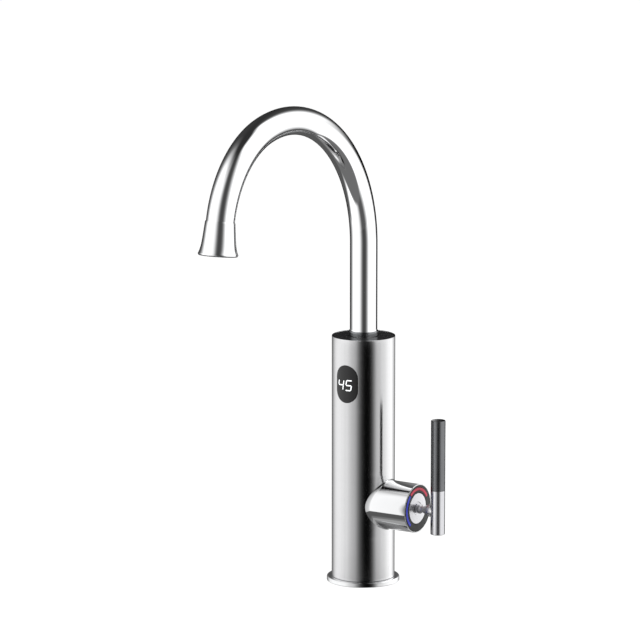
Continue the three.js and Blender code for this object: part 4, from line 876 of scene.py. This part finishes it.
def slot_points(half, straight, count=240):
    """x and z round a slot: a circle x = half cos u, z = half sin u, whose upper half is moved up
    and lower half down by straight, while u rests at the two sides. half may be a column."""
    u = np.linspace(0, 2 * np.pi, count, endpoint=False)
    shift = np.clip(3 * np.sin(u), -1, 1)
    held = np.arctan2(np.sin(u) - shift / 3, np.cos(u))
    return half * np.cos(held), half * np.sin(held) + shift * straight


WINDOW_STRAIGHT = WINDOW_TALL - WINDOW_HALF
x, z = slot_points(WINDOW_HALF + JOINT_GAP, WINDOW_STRAIGHT)
window_edge = np.column_stack([FRONT + np.arcsin(x / BODY_RADIUS), WINDOW_MIDDLE + z])
BOSS_WALL = 2.3
BOSS_BORE = BOSS_RADIUS - BOSS_WALL
u = np.linspace(0, 2 * np.pi, 240, endpoint=False)
boss_edge = np.column_stack([
    SIDE + np.arcsin(BOSS_BORE * np.cos(u) / BODY_RADIUS), VALVE_HEIGHT + BOSS_BORE * np.sin(u),
])
print(f"window {2 * WINDOW_HALF:.1f} x {2 * WINDOW_TALL:.1f} mm, boss bore {2 * BOSS_BORE:.1f}")

# %% The shell
# each opening's band reaches this far up and down, and this many columns to either side
BOSS_BAND, BOSS_COLUMNS = 27, 28
WINDOW_BAND, WINDOW_COLUMNS = 22, 18
BANDS = [
    shell_low[2], VALVE_HEIGHT - BOSS_BAND, VALVE_HEIGHT + BOSS_BAND,
    WINDOW_MIDDLE - WINDOW_BAND, WINDOW_MIDDLE + WINDOW_BAND, BODY_TOP,
]
patches = [
    plain_band((-np.pi, BANDS[0]), (np.pi, BANDS[1]), COLUMNS, 12),
    *band_with_opening(boss_edge, SIDE, BOSS_COLUMNS, BANDS[1], BANDS[2], 18),
    plain_band((-np.pi, BANDS[2]), (np.pi, BANDS[3]), COLUMNS, 16),
    *band_with_opening(window_edge, FRONT, WINDOW_COLUMNS, BANDS[3], BANDS[4], 16),
    plain_band((-np.pi, BANDS[4]), (np.pi, BANDS[5]), COLUMNS, 6),
]
offsets = np.cumsum([0] + [len(points) for points, _ in patches])
rolled = np.concatenate([points for points, _ in patches])
shell_points = np.column_stack([
    BODY_RADIUS * np.cos(rolled[:, 0]), BODY_RADIUS * np.sin(rolled[:, 0]), rolled[:, 1],
])
shell_faces = np.concatenate([faces + start for (_, faces), start in zip(patches, offsets)])
shell = build("brushed_shell", shell_points, shell_faces, body_steel, "body", ("body_shell",))

# %% The grain's direction, the wall and the fine edges
# u per metre of height. Only u's direction counts for the grain.
UP_SCALE = 4


def map_up_and_round(piece):
    """A UV map whose u runs up the piece and whose v runs round it, for the grain's direction. The
    corners of a face take the turn that is nearest to its first corner's, so no face spans the
    seam."""
    mesh = piece.data
    corner = np.empty(len(mesh.loops), int)
    mesh.loops.foreach_get("vertex_index", corner)
    place = np.empty(len(mesh.vertices) * 3)
    mesh.vertices.foreach_get("co", place)
    place = place.reshape(-1, 3)[corner]
    angle = np.arctan2(place[:, 1], place[:, 0])
    first = np.empty(len(mesh.polygons), int)
    mesh.polygons.foreach_get("loop_start", first)
    count = np.diff(np.append(first, len(corner)))
    reference = np.repeat(angle[first], count)
    angle = reference + (angle - reference + np.pi) % (2 * np.pi) - np.pi
    layer = mesh.uv_layers.new(name="up_and_round")
    up_and_round = np.column_stack([place[:, 2] * UP_SCALE, angle / (2 * np.pi)])
    layer.data.foreach_set("uv", up_and_round.ravel())


map_up_and_round(shell)
print("grain runs by", shell.data.uv_layers[0].name)
wall = shell.modifiers.new("wall", "SOLIDIFY")
wall.thickness = SHELL_WALL * MM
wall.offset = -1
edges = shell.modifiers.new("edges", "BEVEL")
edges.width = 0.4 * MM
edges.segments = 3
edges.limit_method = "ANGLE"
edges.angle_limit = math.radians(50)
edges.harden_normals = True

# %% [markdown]
# ## Cap, collar and flange
# The cap is a flat gloss black disc that sits a hair below the shell's rim, which leaves the rim
# as a thin bright ring round it. The dark collar is the edge of the bearing that the spout turns
# in. The flange has a rounded upper edge that catches the light all the way round.

# %% Cap, collar and flange
cap_low, cap_high = span("top_cap")
CAP_BORE = TUBE_RADIUS + 0.3
COLLAR_BORE = TUBE_RADIUS + 0.05
turn("cap_disc", [
    [CAP_BORE, cap_low[2]], [cap_high[0], cap_low[2]], [cap_high[0], cap_high[2]],
    [CAP_BORE, cap_high[2]],
], cap_black, "body", ("top_cap",), edge=0.25)

collar_low, collar_high = span("swivel_collar")
turn("bearing_collar", [
    [COLLAR_BORE, collar_low[2]], [collar_high[0], collar_low[2]],
    [collar_high[0], collar_high[2]], [COLLAR_BORE, collar_high[2]],
], collar_nickel, "spout", ("swivel_collar",), edge=0.2)

flange_high = span("base_flange")[1]
FLANGE_RADIUS = flange_high[0]
FLANGE_TOP = shell_low[2] - 0.2
SPIGOT, SPIGOT_WALL = BODY_RADIUS - SHELL_WALL - 0.2, 2
MANIFOLD_RADIUS = 20.2
turn("flange_ring", [
    [MANIFOLD_RADIUS, 0], [FLANGE_RADIUS, 0, 0.4], [FLANGE_RADIUS, FLANGE_TOP, 1.1],
    [SPIGOT, FLANGE_TOP, 0.1], [SPIGOT, flange_high[2]], [SPIGOT - SPIGOT_WALL, flange_high[2]],
    [SPIGOT - SPIGOT_WALL, FLANGE_TOP], [MANIFOLD_RADIUS, FLANGE_TOP],
], chrome, "body", ("base_flange",), segments=160)

# %% [markdown]
# ## The spout
# The spout is one bent tube. Its centreline goes straight up, then round a wide arc and on round a
# tighter one, and a circle is carried along it. All of it lies in one upright plane, so the circle
# needs only two directions: across the plane, and the normal of the line in the plane. The tube is
# open at both ends, so the surface goes back down its bore.

# %% The spout's tube
TUBE_WALL = 1.0
tube_low = span("spout_tube")[0]
STRAIGHT_RISE = 75.8
SPRING = BODY_TOP + STRAIGHT_RISE
RISING_RADIUS, FALLING_RADIUS = 113.2, 82.7
RISING_SWEEP, SPOUT_SWEEP = math.radians(105.7), math.radians(173)


def spout_line(straight=24, rising=110, falling=70):
    """The centreline in the plane of y and z, and its direction. On an arc, the point after a turn
    of t is centre + radius (cos t, sin t), and the direction there is (-sin t, cos t)."""
    turns = np.concatenate([
        np.zeros(straight), np.linspace(0, RISING_SWEEP, rising),
        np.linspace(RISING_SWEEP, SPOUT_SWEEP, falling)[1:],
    ])
    centre = np.array([-RISING_RADIUS, SPRING])
    towards = np.array([math.cos(RISING_SWEEP), math.sin(RISING_SWEEP)])
    second = centre + (RISING_RADIUS - FALLING_RADIUS) * towards
    direction = np.column_stack([np.cos(turns), np.sin(turns)])
    line = centre + RISING_RADIUS * direction
    line[straight + rising:] = second + FALLING_RADIUS * direction[straight + rising:]
    line[:straight, 1] = np.linspace(tube_low[2], SPRING, straight, endpoint=False)
    return line, turns


def tube_round(line, turns, radii, segments=96):
    """Circles round a plane line: line + r (cos v X + sin v N), with N = (cos t, sin t) outwards
    from the bend."""
    v = np.linspace(0, 2 * np.pi, segments, endpoint=False)[None, :]
    outwards = radii[:, None] * np.sin(v)
    x = radii[:, None] * np.cos(v)
    y = line[:, :1] + outwards * np.cos(turns)[:, None]
    z = line[:, 1:] + outwards * np.sin(turns)[:, None]
    return np.stack([x, y, z], -1)


line, turns = spout_line()
EDGE_ROUND = 0.3
ends = np.full(len(line), TUBE_RADIUS)
ends[0] = ends[-1] = TUBE_RADIUS - EDGE_ROUND
outside = tube_round(line, turns, ends)
inside = tube_round(line[::-1], turns[::-1], np.full(len(line), TUBE_RADIUS - TUBE_WALL))
build_grid("spout_bend", np.concatenate([outside, inside]), chrome, "spout", ("spout_tube",))

# %% [markdown]
# ## The outlet
# The bell is pressed over the end of the spout. It starts a hair wider than the tube, which shows
# as a fine step, widens slowly and then flares to its mouth. A lathe profile would be straight,
# but the bell's neck follows the spout's bend, so its profile is carried along the spout's line.
# In the mouth sits the grey carrier of the aerator, whose lip stands a millimetre below the bell,
# and in it the grille, which stays the CAD model's.

# %% The bell and the aerator's carrier
BELL_SLEEVE, BELL_LENGTH = 6.0, 19.1
BELL_BORE = TUBE_RADIUS + 0.05
BELL_NECK = TUBE_RADIUS + 0.5
BELL_MOUTH = span("outlet_bell")[1][0] - 0.2
BELL_WALL = 1.4
BELL_LIP = BELL_LENGTH + 0.5


def outlet_line(reach):
    """The centreline counted from the spout's end: back along the falling arc where reach is
    negative, and straight on where it is positive. Returns the places and the turns there."""
    turns = SPOUT_SWEEP + np.minimum(reach, 0) / FALLING_RADIUS
    heading = np.array([-math.sin(SPOUT_SWEEP), math.cos(SPOUT_SWEEP)])
    bend = np.column_stack([np.cos(turns), np.sin(turns)]) * FALLING_RADIUS
    end = np.array([math.cos(SPOUT_SWEEP), math.sin(SPOUT_SWEEP)]) * FALLING_RADIUS
    return line[-1] + bend - end + np.maximum(reach, 0)[:, None] * heading, turns


def swept(name, profile, finish, nodes, segments=96):
    """A closed profile of [radius, reach] carried round the spout's bent centreline."""
    places, turns = outlet_line(profile[:, 1])
    grid = tube_round(places, turns, profile[:, 0], segments)
    return build_grid(name, grid, finish, "spout", nodes)


# the outside widens by 0.6 t + 0.4 t^6, and the inside starts where the tube ends
t = np.linspace(0, 1, 32)
flare = BELL_NECK + (BELL_MOUTH - BELL_NECK) * (0.6 * t + 0.4 * t ** 6)
reach = -BELL_SLEEVE + (BELL_LENGTH + BELL_SLEEVE) * t
TUBE_END = 8
bell = np.concatenate([
    [[BELL_BORE, -BELL_SLEEVE], [BELL_NECK - 0.15, -BELL_SLEEVE]],
    np.column_stack([flare[1:], reach[1:]]),
    [[BELL_MOUTH, BELL_LIP - 0.15], [BELL_MOUTH - 0.1, BELL_LIP],
     [BELL_MOUTH - BELL_WALL, BELL_LIP]],
    np.column_stack([flare[:TUBE_END:-1] - BELL_WALL, reach[:TUBE_END:-1]]),
    [[BELL_BORE, reach[TUBE_END]]],
])
swept("outlet_bell_shape", bell, chrome, ("outlet_bell",))

AERATOR_BORE = 11.75
CARRIER_TOP, CARRIER_SEAT, LIP_BOTTOM = 15.5, BELL_LIP + 0.05, 20.5
carrier = rounded([
    [AERATOR_BORE, CARRIER_TOP], [AERATOR_BORE, LIP_BOTTOM - 0.5],
    [AERATOR_BORE + 1.5, LIP_BOTTOM], [BELL_MOUTH - 0.5, LIP_BOTTOM, 0.4],
    [BELL_MOUTH - 0.25, CARRIER_SEAT, 0.1], [BELL_MOUTH - BELL_WALL - 0.2, CARRIER_SEAT, 0.1],
    [BELL_MOUTH - BELL_WALL - 1.5, CARRIER_TOP],
], 0.2)
swept("aerator_carrier", carrier, carrier_grey, ("aerator_housing",))

# %% [markdown]
# ## The side boss
# The boss is a short polished tube that lies on the valve's axis, with its root cut to the round
# of the body. A point on the tube at radius r and angle v lies r sin v to the side, so the root
# there is at the square root of R squared minus that squared. The root flares a little, as a
# brazed joint does once it is polished. The front edge has a rebate, which leaves a thin bright
# rim round the dark ring.

# %% The boss and its saddle
RIM_WALL = 0.8
FLARE, FLARE_LENGTH = 0.9, 3.0
ROOT_LIP = 0.5
ring_low, ring_high = span("face_ring")
FACE_FLOOR = ring_low[0]
SADDLE_RADIUS = BODY_RADIUS + 0.15


def saddle(radius, v, cylinder):
    """How far out a cylinder about z reaches at the place of a cross tube's point."""
    return np.sqrt(cylinder ** 2 - (radius * np.sin(v)) ** 2)


def rows_on_x(rows, v):
    """Rows round the valve's axis from pairs of radius and x, each a number or one per angle v."""
    radius, x = (np.array([np.broadcast_to(row[k], v.shape) for row in rows]) for k in (0, 1))
    return np.stack([x, radius * np.sin(v), VALVE_HEIGHT + radius * np.cos(v)], -1)


def boss_grid(segments=180):
    """Rows round the valve's axis. The first rows are the root's flare, whose radius falls by the
    square of the way out from the saddle: radius + f (1 - s)^2 at s of the flare's length. The
    last row follows the saddle too, and the rows between the front edge's turned outline."""
    v = np.linspace(0, 2 * np.pi, segments, endpoint=False)
    rebate = FACE_FLOOR - 0.2
    front = rounded([
        [BOSS_RADIUS, BODY_RADIUS + 8, 0], [BOSS_RADIUS, BOSS_FACE, 0.35],
        [BOSS_RADIUS - RIM_WALL, BOSS_FACE, 0.2], [BOSS_RADIUS - RIM_WALL, rebate, 0.1],
        [BOSS_BORE, rebate, 0.1], [BOSS_BORE, BODY_RADIUS + 4, 0],
    ], 0.2)[1:-1]
    share = np.linspace(0, 1, 9)
    root = zip(BOSS_RADIUS + FLARE * (1 - share) ** 2, FLARE_LENGTH * share)
    return rows_on_x([
        (BOSS_RADIUS - ROOT_LIP, saddle(BOSS_RADIUS - ROOT_LIP, v, SADDLE_RADIUS)),
        *((radius, saddle(radius, v, SADDLE_RADIUS) + rise) for radius, rise in root),
        *front,
        (BOSS_BORE, saddle(BOSS_BORE, v, SADDLE_RADIUS)),
    ], v)


build_grid("boss_shape", boss_grid(), chrome, "body", ("valve_boss",))

# %% [markdown]
# ## The face of the boss
# Round the spun disc lies a satin ring with two slots, and in each slot a coloured light guide:
# red over the top for hot, blue down the front for cold. The ring is a turned outline whose face
# is pressed in between the slots' radii, over the slots' angles. Angles are counted from straight
# up, positive towards the front.

# %% The ring with its two slots
hub_low, hub_high = span("lever_hub")
HUB_RADIUS = (hub_high[2] - hub_low[2]) / 2
ARC_INNER, ARC_OUTER = HUB_RADIUS + 2.3, HUB_RADIUS + 4.5
HOT_ARC, COLD_ARC = (-62, 38), (42, 140)
RING_FRONT = ring_high[0]
SLOT_DEPTH = 1.2
SLOT_GAP = 0.15


def face_point(x, radius, angle):
    """A point on the boss's face: angle from straight up, in radians, positive to the front."""
    return np.stack([x, -radius * np.sin(angle), VALVE_HEIGHT + radius * np.cos(angle)], -1)


def ring_grid():
    """Columns round the axis, with a pair of columns at each end of each slot, and a profile whose
    points between the slots' radii sink by the slot's depth wherever the column is in a slot."""
    gap = math.degrees(SLOT_GAP / ARC_INNER)
    wall = 0.15
    sides = [edge for a, b in (HOT_ARC, COLD_ARC)
             for edge in (a - gap - wall, a - gap, b + gap, b + gap + wall)]
    columns = np.unique(np.concatenate([np.arange(-180, 180, 2.5), sides]))
    in_slot = np.zeros(len(columns), bool)
    for a, b in (HOT_ARC, COLD_ARC):
        in_slot |= (columns >= a - gap - 1e-6) & (columns <= b + gap + 1e-6)
    bore, outer, back = HUB_RADIUS + 0.3, BOSS_RADIUS - RIM_WALL - 0.2, FACE_FLOOR
    low, high = ARC_INNER - SLOT_GAP, ARC_OUTER + SLOT_GAP
    profile = [
        (bore, back, 0), (bore, RING_FRONT - 0.3, 0), (bore + 0.1, RING_FRONT - 0.1, 0),
        (bore + 0.3, RING_FRONT, 0), (low - 0.03, RING_FRONT, 0), (low, RING_FRONT, 1),
        (high, RING_FRONT, 1), (high + 0.03, RING_FRONT, 0), (outer - 0.3, RING_FRONT, 0),
        (outer - 0.1, RING_FRONT - 0.1, 0), (outer, RING_FRONT - 0.3, 0), (outer, back, 0),
    ]
    radius, x, sinks = (np.array(part, float)[None, :] for part in zip(*profile))
    depth = in_slot[:, None] * sinks * SLOT_DEPTH
    return face_point(x - depth, radius + 0 * depth, np.radians(columns)[:, None])


build_grid("face_ring_shape", ring_grid(), ring_black, "body", ("face_ring",), smooth_angle=35)


GUIDE_EDGE = 0.25


def guide_grid(arc, back, front):
    """A bar bent round the axis: a rounded rectangle of radius and x, carried from one angle to
    the other, whose first and last sections shrink to their middle and close the ends."""
    section = rounded([
        [ARC_INNER, back], [ARC_OUTER, back], [ARC_OUTER, front], [ARC_INNER, front],
    ], GUIDE_EDGE)
    middle = (section.max(0) + section.min(0)) / 2
    reach = math.degrees(GUIDE_EDGE / ARC_INNER)
    angles = [arc[0], arc[0], arc[0] + reach / 3, *np.linspace(arc[0] + reach, arc[1] - reach, 40),
              arc[1] - reach / 3, arc[1], arc[1]]
    shrink = np.array([0, 0.8, 0.93, *np.ones(40), 0.93, 0.8, 0])[:, None, None]
    sections = middle + (section - middle) * shrink
    return face_point(sections[..., 1], sections[..., 0], np.radians(angles)[:, None])


for name, arc, finish, node in (
    ("hot_guide", HOT_ARC, hot_guide, "hot_indicator_arc"),
    ("cold_guide", COLD_ARC, cold_guide, "cold_indicator_arc"),
):
    bar = guide_grid(arc, RING_FRONT - SLOT_DEPTH + 0.05, span(node)[1][0])
    build_grid(name, bar, finish, "body", (node,), close_rows=False)

# %% [markdown]
# ## The lever
# The spun disc turns with the lever. From its middle a turned stem reaches out to the pin: a wide
# root, a slim neck and a flare whose end is hollowed to the round of the pin. The pin is two
# sleeves on one rod, polished below and coated above, with a fine groove where they meet.

# %% The spun disc and the stem
# the stem's outline as radius and distance from the boss's face
STEM = [(2.2, -1.6), (2.2, 0.1), (3.9, 0.1), (3.9, 3.0), (2.9, 3.9), (2.7, 5.6), (5.3, 15.2)]
DISH_RADIUS, DISH_DEPTH = 5.2, 0.35
DISC_BACK, SOCKET_RADIUS = FACE_FLOOR + 0.4, 6.6

turn("spun_disc", [
    [0, hub_high[0] - DISH_DEPTH, 0], [DISH_RADIUS, hub_high[0] - DISH_DEPTH],
    [DISH_RADIUS + 0.4, hub_high[0]], [HUB_RADIUS, hub_high[0]], [HUB_RADIUS, DISC_BACK],
    [SOCKET_RADIUS, DISC_BACK], [SOCKET_RADIUS, hub_low[0]], [0, hub_low[0], 0],
], disc_steel, "lever", ("lever_hub",), edge=0.3, place=lying_on_x)


def stem_grid(segments=96):
    """The stem's turned outline, then rings that shrink along the hollow of the pin's round: at
    radius r and angle v the hollow is at the axis minus the root of P squared - (r sin v)^2."""
    v = np.linspace(0, 2 * np.pi, segments, endpoint=False)
    outline = rounded([[0, BOSS_FACE - 1.5, 0]] + [[r, BOSS_FACE + x] for r, x in STEM[:-1]]
                      + [[STEM[-1][0], BOSS_FACE + STEM[-1][1] - 3, 0]], 0.35)
    hollow = LEVER_RADIUS + 0.12
    rings = (5.1, 5.0, 4.2, 2.0, 0.0)
    return rows_on_x([*outline, *((r, LEVER_AXIS - saddle(r, v, hollow)) for r in rings)], v)


build_grid("stem_shape", stem_grid(), stem_plate, "lever", ("lever_stem",), close_rows=False)


# %% The pin's two sleeves
def on_lever(points):
    """From a lathe at the origin to the lever's upright axis."""
    return points + np.array([LEVER_AXIS, 0, 0])


sleeve_bottom, sleeve_top = sleeve_low[2], sleeve_high[2]
SCREW_HOLE, SCREW_DEPTH = 2.2, 3
turn("lower_sleeve", [
    [0, sleeve_bottom + SCREW_DEPTH, 0], [SCREW_HOLE, sleeve_bottom + SCREW_DEPTH, 0.1],
    [SCREW_HOLE, sleeve_bottom], [LEVER_RADIUS, sleeve_bottom, 0.45],
    [LEVER_RADIUS, sleeve_top, 0.12], [0, sleeve_top, 0],
], satin_plate, "lever", ("lever_sleeve",), segments=96, place=on_lever)
turn("grip_sleeve", [
    [0, grip_low[2], 0], [LEVER_RADIUS, grip_low[2], 0.12], [LEVER_RADIUS, grip_high[2], 0.5],
    [0, grip_high[2], 0],
], grip_steel, "lever", ("lever_grip",), segments=96, place=on_lever)

# %% [markdown]
# ## The display
# The window is a plate of black acrylic, bent to the round of the body and flush with it. Its
# points are rings that grow from the slot's middle line to its outline, in the front view, and are
# then rolled on the body. The lit figures shine through from behind and seem to lie in the face of
# the window, so they are thin bars let into it, standing 0.03 mm proud. They lean a little, as
# such figures do. The figure on the display is the water's temperature.

# %% The window
def on_body(x, z, radius):
    """From the front view to the body: the angle is the arcsine of x over the body's radius."""
    angle = np.arcsin(x / BODY_RADIUS)
    return np.stack([radius * np.sin(angle), -radius * np.cos(angle), WINDOW_MIDDLE + z], -1)


def window_grid(count=200, thick=1.1, edge=0.2):
    """Rings of the slot, each one the slot's middle line moved out by a share of its half width.
    The face's rings come first, then three round the edge, then the back's."""
    share = np.array([0, 0.2, 0.4, 0.6, 0.8, 0.93, 1, 1, 1, 1, 0.93, 0.8, 0.4, 0])[:, None]
    inset = np.array([0] * 6 + [edge, 0.3 * edge, 0, 0] + [0] * 4)[:, None]
    below = np.array([0] * 7 + [0.3 * edge, edge, thick] + [thick] * 4)[:, None]
    x, z = slot_points(share * WINDOW_HALF - inset, WINDOW_STRAIGHT, count)
    return on_body(x, z, BODY_RADIUS - below + 0 * x)


build_grid("window_plate", window_grid(), window_black, "body", ("display_window",),
           close_rows=False)

# %% The lit figures
FIGURE_WIDE, FIGURE_TALL, FIGURE_APART = 5.9, 9.2, 7.6
STROKE, STROKE_GAP = 0.92, 0.1
PROUD, LET_IN = 0.03, 0.3
FIGURES_SHIFT, FIGURES_DROP = -1.4, 0.9
FIGURE_LEAN = math.tan(math.radians(8))
# the seven bars of a figure as start and end, in halves of its width and height
BARS = {
    "top": ((-1, 1), (1, 1)), "middle": ((-1, 0), (1, 0)), "bottom": ((-1, -1), (1, -1)),
    "upper left": ((-1, 0), (-1, 1)), "upper right": ((1, 0), (1, 1)),
    "lower left": ((-1, -1), (-1, 0)), "lower right": ((1, -1), (1, 0)),
}
LIT = {
    -1: ("upper left", "upper right", "middle", "lower right"),
    1: ("top", "upper left", "middle", "lower right", "bottom"),
}


def figure_bar(start, end, centre, samples=16):
    """A bar with bevelled ends: at a distance s from its nearer end, its half width is s, up to
    half the stroke. It is drawn upright, leaned by its height, and rolled on the body."""
    half = np.array([FIGURE_WIDE - STROKE, FIGURE_TALL - STROKE]) / 2
    start, end = np.array(start) * half, np.array(end) * half
    length = np.linalg.norm(end - start)
    along = (end - start) / length
    across = np.array([-along[1], along[0]])
    reach = length / 2 - STROKE_GAP
    bevel = STROKE / 2
    s = np.concatenate([
        np.linspace(0, bevel, 5), np.linspace(bevel, 2 * reach - bevel, samples)[1:-1],
        np.linspace(2 * reach - bevel, 2 * reach, 5),
    ])
    width = np.minimum(np.minimum(s, 2 * reach - s), bevel)
    middle = (start + end) / 2 + np.outer(s - reach, along)
    sides = np.array([-1, -0.33, 0.33, 1])
    flat = middle[:, None] + (width[:, None] * sides)[..., None] * across
    x = centre + flat[..., 0] + flat[..., 1] * FIGURE_LEAN
    face = on_body(x, flat[..., 1] - FIGURES_DROP, BODY_RADIUS + PROUD)
    back = on_body(x, flat[..., 1] - FIGURES_DROP, BODY_RADIUS - LET_IN)
    return np.concatenate([face, back[:, ::-1]], axis=1)


points, faces = [], []
for side, names in LIT.items():
    for name in names:
        bar = figure_bar(*BARS[name], side * FIGURE_APART / 2 + FIGURES_SHIFT)
        faces.append(grid_faces(*bar.shape[:2], close_rows=False) + sum(len(p) for p in points))
        points.append(bar.reshape(-1, 3))
figures = build(
    "lit_figures", np.concatenate(points), np.concatenate(faces), figure_light, "body")
